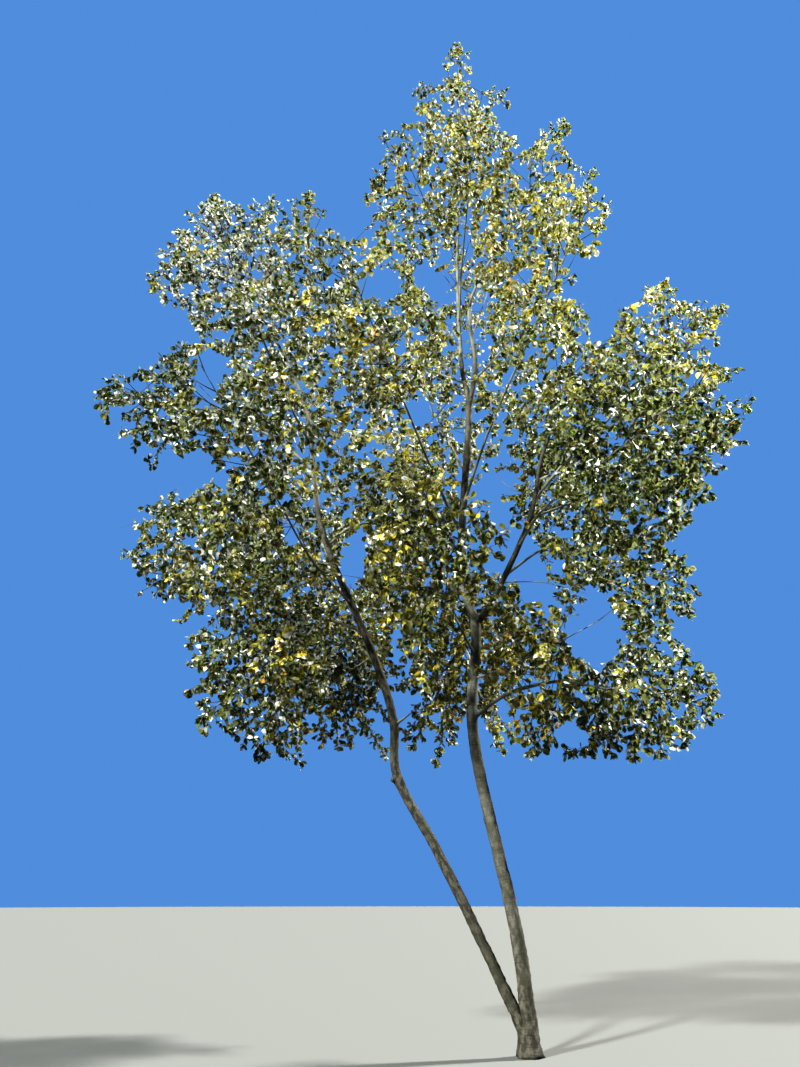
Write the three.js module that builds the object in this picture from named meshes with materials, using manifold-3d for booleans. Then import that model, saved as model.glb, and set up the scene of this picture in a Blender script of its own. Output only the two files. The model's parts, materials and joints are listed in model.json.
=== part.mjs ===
// A white poplar: two stems from one root collar, their boughs, and an open crown of leaf masses.
// Millimetres, +Z up, +X to the right and +Y to the back of the tree's front view.
// The origin is the middle of the flat cut under the trunk, at ground level.
import * as THREE from 'three';
import { mergeVertices } from 'three/addons/utils/BufferGeometryUtils.js';
import Module from 'manifold-3d';

// Gaps between pieces
const JOINT_GAP = 0.3;
const LIMB_CLEARANCE = 5;
const MASS_CLEARANCE = 6;

// A twig or leaf that would be fused with an edge shorter than this is left out
const LEAST_EDGE = 0.05;

// Root collar
const FLARE_DIAMETER = 290;
const FLARE_HEIGHT = 170;
const FLARE_LOBES = 5;
const FLARE_LOBE_DEPTH = 0.16;

// Limbs: how they are faceted, and how much of a bough's diameter is left at its tip
const TRUNK_SIDES = 10;
const TRUNK_RINGS = 20;
const TRUNK_CROWDING = 1.5;
const STEM_SIDES = 8;
const STEM_RINGS = 14;
const BOUGH_SIDES = 5;
const BOUGH_RINGS = 4;
const BOUGH_TAPER = 0.55;

// Where a bough ends inside the oval of its mass, as a share of the way from the middle to the edge
const BOUGH_ENTRY = 0.62;

// The stem of a mass: its size, how far along it bends, and how much it sags there
const TWIG_SIDES = 3;
const MASS_STEM_STEPS = 3;
const MASS_STEM_RADIUS = 15;
const MASS_STEM_TIP_RADIUS = 12;
const MASS_STEM_BEND = 0.5;
const MASS_STEM_SAG = 0.08;

// Side twigs of that stem: the part of it they stand on, their sizes, and their angles in degrees
const SIDE_TWIGS = 7;
const SIDE_TWIG_TRIES = 6;
const SIDE_TWIG_FIRST = 0.15;
const SIDE_TWIG_LAST = 0.95;
const SIDE_TWIG_RADIUS = 7;
const SIDE_TWIG_TIP_RADIUS = 6;
const SIDE_TWIG_LEAST = 90;
const SIDE_TWIG_OPEN_ANGLE = 80;
const SIDE_TWIG_TIP_ANGLE = 35;
const GOLDEN_ANGLE = 137.5;
const TURN_SPREAD = 40;

// Leaves: each stands for a spray, and is a flat kite with a low ridge and six faces
const LEAF_LENGTH = 620;
const LEAF_WIDTH = 480;
const LEAF_THICKNESS = 18;
const LEAF_WIDEST = 0.55;
const LEAF_THICKEST = 0.25;
const LEAF_SHRINK = 0.35;

// How deep the root of a leaf is sunk in the side of its twig, and in its end
const LEAF_SINK = 3;
const END_LEAF_SINK = 4;

// Angles of leaves in degrees, and how much they vary
const LEAF_ANGLE = 58;
const LEAF_ANGLE_SPREAD = 24;
const LEAF_TWIST_SPREAD = 28;
const END_LEAF_ANGLE = 40;

// How many leaves a mass has, where they stand along its twigs, and the room a twig leaves for its last one
const LEAVES_A_MASS = 18;
const LEAF_TRIES = 20;
const LEAF_SHARES = [1, 0.66, 0.33];
const LEAF_ROOM = 0.75;
const LEAF_ROOM_SPREAD = 0.2;

// A leaf that would share more than this with what is there already, in cubic millimetres, is left out
const CROSSING_VOLUME = 400;

// The step between the seeds of two masses
const SEED_STEP = 7919;

// The bends of the two stems: how far right, how far back, how high, and the diameter there
const TRUNK_BENDS = [
  [0, 0, 0, 185],
  [0, 0, 400, 156],
  [-80, 10, 1200, 142],
  [-450, 20, 3200, 130],
  [-375, 0, 4500, 122],
  [-530, 0, 5400, 100],
  [-350, 10, 7700, 84],
  [-425, 30, 8600, 60],
  [-430, 20, 10400, 40],
  [-330, 0, 12600, 24],
];
const LEFT_STEM_BENDS = [
  [-20, 0, 180, 118],
  [-420, 0, 1000, 112],
  [-910, 0, 1960, 108],
  [-1350, 0, 2750, 104],
  [-1400, 0, 3400, 100],
  [-1650, 0, 4200, 94],
  [-2350, 0, 5900, 78],
  [-2610, 0, 7600, 56],
  [-2970, 0, 8600, 44],
];
const LEFT_STEM_TIP_DIAMETER = 26;

// The dead stub on the left stem: its height there, its direction and its size
const STUB = {
  height: 2860,
  direction: [-0.75, -0.25, 0.6],
  length: 130,
  radius: 21,
  tipRadius: 15,
};

// Boughs: name, parent, the height at which they leave it, the diameter there,
// and the points they bend through
const BOUGHS = [
  ['right_leader', 'trunk', 7720, 68, [[-230, -40, 8500], [-240, -50, 9700]]],
  ['upper_front_bough', 'trunk', 9300, 34, [[-410, -420, 9950]]],
  ['upper_back_bough', 'trunk', 9650, 34, [[-370, 480, 10350]]],
  ['middle_right_bough', 'right_leader', 8250, 32, [[10, 0, 8560]]],
  ['front_right_bough', 'trunk', 6250, 40, [[-150, -620, 7050]]],
  ['front_left_bough', 'trunk', 5800, 42, [[-850, -560, 6300]]],
  ['back_middle_bough', 'trunk', 6750, 44, [[-540, 620, 7450]]],
  ['east_bough', 'trunk', 4580, 84, [[-130, 0, 4930], [400, 0, 6050], [590, 0, 6850]]],
  ['east_outer_bough', 'east_bough', 6330, 44, [[1000, 10, 6980], [1480, 10, 7450]]],
  ['right_middle_bough', 'east_bough', 6050, 36, [[1050, 150, 6380]]],
  ['back_right_bough', 'east_bough', 6600, 36, [[830, 560, 7000]]],
  ['right_front_bough', 'east_bough', 5650, 36, [[470, -560, 5900]]],
  ['right_low_bough', 'east_bough', 5250, 36, [[620, 20, 5640]]],
  ['arched_bough', 'trunk', 3420, 56, [[0, -20, 3720], [610, -40, 3860]]],
  ['low_back_bough', 'trunk', 3950, 40, [[-430, 560, 4350]]],
  ['north_west_bough', 'trunk', 5480, 56, [[-1050, 20, 6480], [-1750, 40, 7920]]],
  ['inner_bough', 'left_stem', 5650, 38, [[-2030, 120, 5950]]],
  ['left_arm', 'left_stem', 6780, 44, [[-3060, 0, 7280], [-3900, 0, 7700]]],
  ['left_outer_bough', 'left_stem', 6030, 38, [[-2750, 20, 6060], [-3150, 30, 6120]]],
  ['left_front_bough', 'left_stem', 7150, 38, [[-2800, -520, 7500]]],
  ['left_back_bough', 'left_stem', 5350, 40, [[-2480, 620, 6050]]],
  ['left_top_back_bough', 'left_stem', 7500, 38, [[-2830, 560, 8200]]],
  ['left_front_low_bough', 'left_stem', 4850, 36, [[-2380, -560, 5200]]],
  ['left_low_bough', 'left_stem', 4480, 34, [[-2250, 0, 4640]]],
  ['left_low_back_bough', 'left_stem', 3950, 36, [[-1780, 560, 4400]]],
];

// Leaf masses: name, the limb that carries it, the middle of its space, and the half sizes of its space
// A mass on the trunk's side also has the height at which its stem leaves it
const MASSES = [
  ['top_leaves', 'trunk', [-300, 0, 14050], [850, 900, 1450]],
  ['upper_left_leaves', 'trunk', [-1150, -50, 12100], [850, 1050, 1300], 10850],
  ['upper_right_leaves', 'right_leader', [850, 50, 12000], [1150, 1100, 1250]],
  ['upper_front_leaves', 'upper_front_bough', [-300, -1550, 11000], [1150, 1050, 1250]],
  ['upper_back_leaves', 'upper_back_bough', [-300, 1650, 11500], [1150, 1050, 1300]],
  ['middle_right_leaves', 'middle_right_bough', [800, 0, 9650], [950, 1100, 1050]],
  ['middle_left_leaves', 'trunk', [-1350, 150, 8850], [950, 1100, 1050], 8220],
  ['front_right_leaves', 'front_right_bough', [550, -1950, 8300], [1150, 1250, 1200]],
  ['front_left_leaves', 'front_left_bough', [-1600, -2000, 7500], [1150, 1200, 1200]],
  ['back_middle_leaves', 'back_middle_bough', [-700, 2050, 8900], [1200, 1200, 1350]],
  ['right_top_leaves', 'east_outer_bough', [2550, 0, 8750], [1100, 1200, 1150]],
  ['right_middle_leaves', 'right_middle_bough', [2400, 100, 6950], [1200, 1150, 1000]],
  ['right_inner_leaves', 'east_bough', [950, 50, 7900], [900, 1000, 950]],
  ['back_right_leaves', 'back_right_bough', [1450, 2150, 7600], [1150, 1200, 1200]],
  ['right_front_leaves', 'right_front_bough', [1350, -1950, 6200], [1150, 1250, 1150]],
  ['right_low_leaves', 'right_low_bough', [1700, 0, 5300], [950, 1100, 950]],
  ['right_skirt_leaves', 'arched_bough', [1500, -100, 3700], [1000, 1150, 850]],
  ['low_right_leaves', 'trunk', [350, -750, 4100], [850, 950, 950], 3900],
  ['low_back_leaves', 'low_back_bough', [-400, 2000, 5000], [1200, 1200, 1150]],
  ['inner_leaves', 'inner_bough', [-1250, 500, 6400], [900, 1000, 1000]],
  ['low_middle_leaves', 'trunk', [-1050, -1500, 4950], [900, 1100, 1000], 4200],
  ['left_top_leaves', 'left_stem', [-4050, 0, 10550], [1150, 1200, 1300]],
  ['left_top_inner_leaves', 'north_west_bough', [-2650, 50, 10450], [1000, 1150, 1350]],
  ['left_top_back_leaves', 'left_top_back_bough', [-3350, 2050, 9500], [1150, 1150, 1250]],
  ['left_front_leaves', 'left_front_bough', [-3350, -1900, 8500], [1150, 1250, 1250]],
  ['left_back_leaves', 'left_back_bough', [-3100, 2200, 7000], [1200, 1200, 1200]],
  ['left_arm_leaves', 'left_arm', [-4700, 0, 7900], [900, 1050, 900]],
  ['left_outer_leaves', 'left_outer_bough', [-3850, 50, 5600], [1050, 1150, 900]],
  ['left_front_low_leaves', 'left_front_low_bough', [-3000, -1950, 6000], [1150, 1250, 1200]],
  ['left_low_leaves', 'left_low_bough', [-2950, 0, 4050], [1000, 1200, 1000]],
  ['left_low_back_leaves', 'left_low_back_bough', [-2200, 2000, 4900], [1150, 1200, 1100]],
];

// Finishes
const LOWER_BARK = { color: 0x5a564a, roughness: 0.95, metalness: 0 };
const UPPER_BARK = { color: 0x8b897c, roughness: 0.85, metalness: 0 };
const LEAF_FINISHES = [
  { color: 0x5f6b35, roughness: 0.6, metalness: 0 },
  { color: 0x77803c, roughness: 0.6, metalness: 0 },
  { color: 0x9a9a45, roughness: 0.6, metalness: 0 },
];

const wasm = await Module();
wasm.setup();

function vector(values) {
  return new THREE.Vector3(values[0], values[1], values[2]);
}

function radians(degrees) {
  return degrees * Math.PI / 180;
}

// A source of even numbers from 0 to 1 that gives the same row for the same seed
function seededRandom(seed) {
  let state = seed >>> 0;
  return () => {
    state = (Math.imul(state, 1664525) + 1013904223) >>> 0;
    return state / 4294967296;
  };
}

// A closed mesh as a solid
function solidOf(positions, faces) {
  const geometry = new THREE.BufferGeometry();
  geometry.setAttribute('position', new THREE.Float32BufferAttribute(positions, 3));
  geometry.setIndex(faces);
  const merged = mergeVertices(geometry);
  return new wasm.Manifold(new wasm.Mesh({
    numProp: 3,
    vertProperties: new Float32Array(merged.attributes.position.array),
    triVerts: new Uint32Array(merged.index.array),
  }));
}

// A solid as a mesh
function geometryOf(solid) {
  const mesh = solid.getMesh();
  const geometry = new THREE.BufferGeometry();
  const positions = new Float32Array(mesh.vertProperties);
  geometry.setAttribute('position', new THREE.BufferAttribute(positions, 3));
  geometry.setIndex(new THREE.BufferAttribute(new Uint32Array(mesh.triVerts), 1));
  geometry.computeVertexNormals();
  return geometry;
}

// The largest piece of a solid, without loose scraps or sealed hollows
function largestPiece(solid) {
  const pieces = solid.decompose();
  pieces.sort((one, other) => other.volume() - one.volume());
  return pieces[0];
}

// True where every edge of a solid is long enough to be kept exactly
function hasSoundEdges(solid) {
  const { vertProperties, triVerts } = solid.getMesh();
  const corner = (index) => new THREE.Vector3().fromArray(vertProperties, 3 * triVerts[index]);
  return triVerts.every((_, index) => {
    const next = index % 3 === 2 ? index - 2 : index + 1;
    return corner(index).distanceTo(corner(next)) > LEAST_EDGE;
  });
}

// The direction of a row of points at each of them
function directionsAlong(points) {
  return points.map((point, index) => {
    const before = points[Math.max(index - 1, 0)];
    const after = points[Math.min(index + 1, points.length - 1)];
    return after.clone().sub(before).normalize();
  });
}

// The direction from the axis of a tube to the first corner of its section
function firstSpoke(direction) {
  const isLevel = Math.abs(direction.x) > 0.9;
  const start = isLevel ? new THREE.Vector3(0, 1, 0) : new THREE.Vector3(1, 0, 0);
  return start.addScaledVector(direction, -start.dot(direction)).normalize();
}

// A closed faceted tube round a row of points, its rings turned as little as the bends allow
// Its foot is square to the tube, or to a direction of its own
function tubeSolid(points, radiusAt, sides, footDirection) {
  const directions = directionsAlong(points);
  directions[0].copy(footDirection ?? directions[0]);
  const spoke = firstSpoke(directions[0]);
  const positions = [];
  points.forEach((point, ring) => {
    spoke.addScaledVector(directions[ring], -spoke.dot(directions[ring])).normalize();
    const across = directions[ring].clone().cross(spoke);
    for (let side = 0; side < sides; side += 1) {
      const angle = 2 * Math.PI * side / sides;
      const radius = radiusAt(ring, angle);
      const corner = point.clone();
      corner.addScaledVector(spoke, radius * Math.cos(angle));
      corner.addScaledVector(across, radius * Math.sin(angle));
      positions.push(corner.x, corner.y, corner.z);
    }
  });
  return solidOf(positions, tubeFaces(points.length, sides));
}

function tubeFaces(rings, sides) {
  const faces = [];
  for (let ring = 0; ring < rings - 1; ring += 1) {
    for (let side = 0; side < sides; side += 1) {
      const here = ring * sides + side;
      const next = ring * sides + (side + 1) % sides;
      faces.push(here, next, next + sides, here, next + sides, here + sides);
    }
  }
  const last = (rings - 1) * sides;
  for (let side = 1; side < sides - 1; side += 1) {
    faces.push(0, side + 1, side, last, last + side, last + side + 1);
  }
  return faces;
}

// The row of points of a limb: a smooth curve through its bends, its rings closer near the foot
function limbPoints(bends, rings, crowding) {
  const curve = new THREE.CatmullRomCurve3(bends, false, 'catmullrom', 0.5);
  return Array.from({ length: rings + 1 }, (_, ring) => curve.getPointAt((ring / rings) ** crowding));
}

// The point of a limb at a height, where the limb first reaches it
function pointAtHeight(limb, height) {
  const upper = limb.points.findIndex((point) => point.z >= height);
  const high = limb.points[Math.max(upper, 1)];
  const low = limb.points[Math.max(upper, 1) - 1];
  return low.clone().lerp(high, (height - low.z) / (high.z - low.z));
}

// The radius of a stem at a height, from the diameters at its bends
function stemRadius(bends, height) {
  const upper = Math.max(bends.findIndex((bend) => bend[2] >= height), 1);
  const [low, high] = height > bends.at(-1)[2] ? bends.slice(-2) : [bends[upper - 1], bends[upper]];
  const share = Math.min((height - low[2]) / (high[2] - low[2]), 1);
  return (low[3] + share * (high[3] - low[3])) / 2;
}

// How much the root collar adds to the trunk's radius: more on its lobes, and nothing higher up
function flareRadius(height, angle) {
  const spread = (FLARE_DIAMETER - TRUNK_BENDS[0][3]) / 2;
  const lobe = 1 + FLARE_LOBE_DEPTH * Math.cos(FLARE_LOBES * angle);
  return spread * lobe * Math.exp(-height / FLARE_HEIGHT);
}

// A mass's edge on the way from its middle to a point, at a share of its half sizes
function edgeTowards(mass, point, share) {
  const way = point.clone().sub(mass.centre);
  const length = Math.hypot(way.x / mass.radii.x, way.y / mass.radii.y, way.z / mass.radii.z);
  return mass.centre.clone().addScaledVector(way, share / length);
}

function massRows() {
  const masses = MASSES.map(([name, carrier, centre, radii, height], index) => ({
    name,
    carrier,
    height,
    centre: vector(centre),
    radii: vector(radii),
    size: (radii[0] + radii[1] + radii[2]) / 3,
    seed: index + 1,
  }));
  masses.forEach((mass) => {
    mass.borders = bordersOf(mass, masses);
  });
  return masses;
}

function tipMass(masses, limbName) {
  return masses.find((mass) => mass.carrier === limbName && mass.height === undefined);
}

function makeTrunk() {
  const points = limbPoints(TRUNK_BENDS.map(vector), TRUNK_RINGS, TRUNK_CROWDING);
  const radiusAt = (ring, angle) => {
    const height = points[ring].z;
    return stemRadius(TRUNK_BENDS, height) + flareRadius(height, angle);
  };
  const footDirection = new THREE.Vector3(0, 0, 1);
  return { name: 'trunk', points, radiusAt, sides: TRUNK_SIDES, footDirection };
}

function makeLeftStem(masses) {
  const bends = LEFT_STEM_BENDS.map(vector);
  bends.push(edgeTowards(tipMass(masses, 'left_stem'), bends.at(-1), BOUGH_ENTRY));
  const points = limbPoints(bends, STEM_RINGS, 1);
  const rows = [...LEFT_STEM_BENDS, [0, 0, bends.at(-1).z, LEFT_STEM_TIP_DIAMETER]];
  const radiusAt = (ring) => stemRadius(rows, points[ring].z);
  return { name: 'left_stem', parent: 'trunk', points, radiusAt, sides: STEM_SIDES };
}

function makeBough([name, parent, height, diameter, bends], limbs, masses) {
  const through = bends.map(vector);
  const start = pointAtHeight(limbs.get(parent), height);
  const tip = edgeTowards(tipMass(masses, name), through.at(-1), BOUGH_ENTRY);
  const points = limbPoints([start, ...through, tip], BOUGH_RINGS + bends.length - 1, 1);
  const last = points.length - 1;
  const radiusAt = (ring) => diameter / 2 * (1 - (1 - BOUGH_TAPER) * ring / last);
  return { name, parent, points, radiusAt, sides: BOUGH_SIDES };
}

// A limb's solid, thicker all round by a clearance
function limbSolid(limb, extra = 0) {
  const radiusAt = (ring, angle) => limb.radiusAt(ring, angle) + extra;
  return tubeSolid(limb.points, radiusAt, limb.sides, limb.footDirection);
}

// A limb cut to its seat on its parent, and the left stem with its dead stub
function seatedLimb(limb, limbs) {
  let solid = limbSolid(limb);
  if (limb.name === 'left_stem') {
    solid = solid.add(stubSolid(limb));
  }
  if (limb.parent) {
    solid = solid.subtract(limbSolid(limbs.get(limb.parent), JOINT_GAP));
  }
  return largestPiece(solid);
}

function stubSolid(limb) {
  const start = pointAtHeight(limb, STUB.height);
  const tip = start.clone().addScaledVector(vector(STUB.direction).normalize(), STUB.length);
  return tubeSolid([start, tip], (ring) => (ring ? STUB.tipRadius : STUB.radius), BOUGH_SIDES);
}

// The planes that part a mass from its neighbours, each as a direction
// and a distance from the middle of the mass
function bordersOf(mass, masses) {
  return masses.filter((other) => other !== mass).map((other) => {
    const direction = other.centre.clone().sub(mass.centre);
    const apart = direction.length();
    const distance = (apart ** 2 + mass.size ** 2 - other.size ** 2) / (2 * apart);
    return { direction: direction.normalize(), distance: distance - MASS_CLEARANCE / 2 };
  });
}

// True where a point is in a mass's own space: inside its oval, and on its side of every border
function inSpace(point, mass) {
  const way = point.clone().sub(mass.centre);
  const inOval = way.clone().divide(mass.radii).length() <= 1;
  return inOval && mass.borders.every((border) => way.dot(border.direction) < border.distance);
}

// How far it is from a point to the edge of a mass's space in a direction
function reachOf(point, direction, mass) {
  const way = point.clone().sub(mass.centre);
  const from = way.clone().divide(mass.radii);
  const step = direction.clone().divide(mass.radii);
  const slope = from.dot(step);
  const inside = slope * slope - step.lengthSq() * (from.lengthSq() - 1);
  const toOval = (Math.sqrt(Math.max(inside, 0)) - slope) / step.lengthSq();
  return mass.borders.reduce((reach, border) => {
    const speed = direction.dot(border.direction);
    const toBorder = (border.distance - way.dot(border.direction)) / speed;
    return speed > 0 ? Math.min(reach, toBorder) : reach;
  }, toOval);
}

// A direction turned away from an axis by one angle, and round it by another
function turned(axis, away, round) {
  const isUpright = Math.abs(axis.z) > 0.9;
  const start = isUpright ? new THREE.Vector3(1, 0, 0) : new THREE.Vector3(0, 0, 1);
  const spoke = start.cross(axis).normalize().applyAxisAngle(axis, round);
  const along = axis.clone().multiplyScalar(Math.cos(away));
  return along.addScaledVector(spoke, Math.sin(away)).normalize();
}

// The corners of a leaf: its root, its tip, both edges, and the top of its ridge
function leafCorners({ direction, normal, root }, scale) {
  const across = direction.clone().cross(normal).normalize();
  const length = LEAF_LENGTH * scale;
  const middle = root.clone().addScaledVector(direction, length * LEAF_WIDEST);
  const ridge = root.clone().addScaledVector(direction, length * LEAF_THICKEST);
  const halfWidth = LEAF_WIDTH * scale / 2;
  return [
    root,
    root.clone().addScaledVector(direction, length),
    middle.clone().addScaledVector(across, halfWidth),
    middle.clone().addScaledVector(across, -halfWidth),
    ridge.addScaledVector(normal, LEAF_THICKNESS),
  ];
}

// The four upper faces of a leaf and its two lower ones, by the corners above
const LEAF_FACES = [0, 2, 4, 2, 1, 4, 1, 3, 4, 3, 0, 4, 2, 0, 1, 3, 1, 0];

function leafSolid(corners) {
  return solidOf(corners.flatMap((corner) => corner.toArray()), LEAF_FACES);
}

// The stem of a mass, from its seat on the limb, past the middle of its space
function stemOf(mass, limbs) {
  const limb = limbs.get(mass.carrier);
  const onSide = mass.height !== undefined;
  const seat = onSide ? pointAtHeight(limb, mass.height) : limb.points.at(-1).clone();
  const limbLead = limb.points.at(-1).clone().sub(limb.points.at(-2)).normalize();
  const start = onSide ? seat : seat.addScaledVector(limbLead, JOINT_GAP);
  const way = mass.centre.clone().sub(start);
  const forward = way.clone().normalize();
  const beyond = reachOf(mass.centre, forward, mass) - LEAF_LENGTH;
  const end = mass.centre.clone().addScaledVector(forward, beyond);
  const bend = start.clone();
  if (onSide) {
    bend.addScaledVector(way, MASS_STEM_BEND);
    bend.z -= MASS_STEM_SAG * way.length();
  } else {
    bend.addScaledVector(limbLead, MASS_STEM_BEND * way.length());
  }
  const curve = new THREE.QuadraticBezierCurve3(start, bend, end);
  const points = curve.getPoints(MASS_STEM_STEPS);
  const lead = points.at(-1).clone().sub(points.at(-2)).normalize();
  const solid = onSide ? sideStemSolid(points, limb) : tipStemSolid(points, limb, limbLead);
  return { curve, lead, solid };
}

// The radius of a mass's stem at a ring, from its radius at the foot
function massStemRadius(footRadius, ring) {
  return footRadius + (MASS_STEM_TIP_RADIUS - footRadius) * ring / MASS_STEM_STEPS;
}

// A stem that leaves the side of a limb, cut to its seat there
function sideStemSolid(points, limb) {
  const solid = tubeSolid(points, (ring) => massStemRadius(MASS_STEM_RADIUS, ring), TWIG_SIDES);
  return largestPiece(solid.subtract(limbSolid(limb, JOINT_GAP)));
}

// A stem that goes on from the tip of a limb, as thick there as the limb
function tipStemSolid(points, limb, limbLead) {
  const footRadius = Math.max(limb.radiusAt(limb.points.length - 1, 0), MASS_STEM_RADIUS);
  return tubeSolid(points, (ring) => massStemRadius(footRadius, ring), TWIG_SIDES, limbLead);
}

// A side twig of a stem, as its start, its direction, its length, its end and its solid
function sideTwig(index, attempt, stem, mass, random) {
  const share = SIDE_TWIG_FIRST + (SIDE_TWIG_LAST - SIDE_TWIG_FIRST) * (index + 0.5) / SIDE_TWIGS;
  const start = stem.curve.getPoint(share);
  const open = SIDE_TWIG_OPEN_ANGLE + (SIDE_TWIG_TIP_ANGLE - SIDE_TWIG_OPEN_ANGLE) * share;
  const round = GOLDEN_ANGLE * (index + attempt / 2 + mass.seed) + TURN_SPREAD * random();
  const direction = turned(stem.curve.getTangent(share), radians(open), radians(round));
  const room = LEAF_LENGTH * (LEAF_ROOM + LEAF_ROOM_SPREAD * random());
  const length = Math.max(reachOf(start, direction, mass) - room, SIDE_TWIG_LEAST);
  const end = start.clone().addScaledVector(direction, length);
  const radiusAt = (ring) => (ring ? SIDE_TWIG_TIP_RADIUS : SIDE_TWIG_RADIUS);
  return { start, direction, length, end, solid: tubeSolid([start, end], radiusAt, TWIG_SIDES) };
}

// The side twigs of a stem, each where it has room, and the body they make with the stem
function growTwigs(mass, stem, clear, random) {
  const twigs = [];
  let body = stem.solid;
  for (let index = 0; index < SIDE_TWIGS; index += 1) {
    for (let attempt = 0; attempt < SIDE_TWIG_TRIES && twigs.length <= index; attempt += 1) {
      const twig = sideTwig(index, attempt, stem, mass, random);
      const joined = body.add(twig.solid);
      if (inSpace(twig.end, mass) && clear(twig.solid) && hasSoundEdges(joined)) {
        twigs.push(twig);
        body = joined;
      }
    }
  }
  return { twigs, body };
}

// One mass: its stem, side twigs round the stem, and leaves on the twigs, each where it has room
function growMass(mass, limbs, limbZone) {
  const random = seededRandom(mass.seed * SEED_STEP);
  const clear = (solid) => solid.intersect(limbZone).isEmpty();
  const stem = stemOf(mass, limbs);
  const grown = growTwigs(mass, stem, clear, random);
  const places = [{ start: stem.curve.getPoint(1), direction: stem.lead, length: 0, share: 1 }];
  LEAF_SHARES.forEach((share) => {
    places.push(...grown.twigs.map((twig) => ({ ...twig, share })));
  });
  let { body } = grown;
  let leaves = 0;
  places.forEach((place) => {
    const joined = leaves < LEAVES_A_MASS && addLeaf(place, body, mass, clear, random);
    if (joined) {
      body = joined;
      leaves += 1;
    }
  });
  return largestPiece(body);
}

// The direction, normal and root of a leaf that goes on from the end of a twig
function endLeafPose(place, spread, random) {
  const away = radians(END_LEAF_ANGLE * spread);
  const direction = turned(place.direction, away, 2 * Math.PI * random());
  const normal = turned(direction, Math.PI / 2, 2 * Math.PI * random());
  const root = place.start.clone().addScaledVector(place.direction, place.length);
  return { direction, normal, root: root.addScaledVector(direction, -END_LEAF_SINK) };
}

// The direction, normal and root of a leaf on one of the three faces of a twig
function sideLeafPose(place, random) {
  const face = Math.floor(TWIG_SIDES * random());
  const round = (2 * face + 1) * Math.PI / TWIG_SIDES;
  const outward = firstSpoke(place.direction).applyAxisAngle(place.direction, round);
  const angle = radians(LEAF_ANGLE + LEAF_ANGLE_SPREAD * (random() - 0.5));
  const direction = place.direction.clone().multiplyScalar(Math.cos(angle));
  direction.addScaledVector(outward, Math.sin(angle));
  const normal = place.direction.clone().cross(outward).multiplyScalar(random() < 0.5 ? 1 : -1);
  normal.applyAxisAngle(direction, radians(LEAF_TWIST_SPREAD * (random() - 0.5)));
  const root = place.start.clone().addScaledVector(place.direction, place.length * place.share);
  return { direction, normal, root: root.addScaledVector(direction, -LEAF_SINK) };
}

// A body with a leaf more at a place on a twig: tried at a few angles, smaller each time, until it has room
function addLeaf(place, body, mass, clear, random) {
  for (let attempt = 0; attempt < LEAF_TRIES; attempt += 1) {
    const spread = attempt / LEAF_TRIES;
    const atEnd = place.share === 1;
    const pose = atEnd ? endLeafPose(place, spread, random) : sideLeafPose(place, random);
    const corners = leafCorners(pose, 1 - LEAF_SHRINK * spread);
    if (corners.slice(1).every((corner) => inSpace(corner, mass))) {
      const leaf = leafSolid(corners);
      const shared = leaf.intersect(body).volume();
      const joined = body.add(leaf);
      if (clear(leaf) && shared < CROSSING_VOLUME && hasSoundEdges(joined)) {
        return joined;
      }
    }
  }
  return null;
}

function addPiece(group, name, solid, finish) {
  const mesh = new THREE.Mesh(geometryOf(solid), new THREE.MeshStandardMaterial(finish));
  mesh.name = name;
  group.add(mesh);
}

function buildTree() {
  const tree = new THREE.Group();
  tree.name = 'white_poplar';
  const masses = massRows();
  const limbs = new Map();
  limbs.set('trunk', makeTrunk());
  limbs.set('left_stem', makeLeftStem(masses));
  BOUGHS.forEach((row) => limbs.set(row[0], makeBough(row, limbs, masses)));
  let limbZone = null;
  limbs.forEach((limb) => {
    const zone = limbSolid(limb, LIMB_CLEARANCE);
    limbZone = limbZone ? limbZone.add(zone) : zone;
    const isStem = limb.name === 'trunk' || limb.name === 'left_stem';
    addPiece(tree, limb.name, seatedLimb(limb, limbs), isStem ? LOWER_BARK : UPPER_BARK);
  });
  masses.forEach((mass, index) => {
    const solid = growMass(mass, limbs, limbZone);
    addPiece(tree, mass.name, solid, LEAF_FINISHES[index % LEAF_FINISHES.length]);
  });
  return tree;
}

const whitePoplar = buildTree();

export default whitePoplar;
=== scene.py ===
import json
import math

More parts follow.
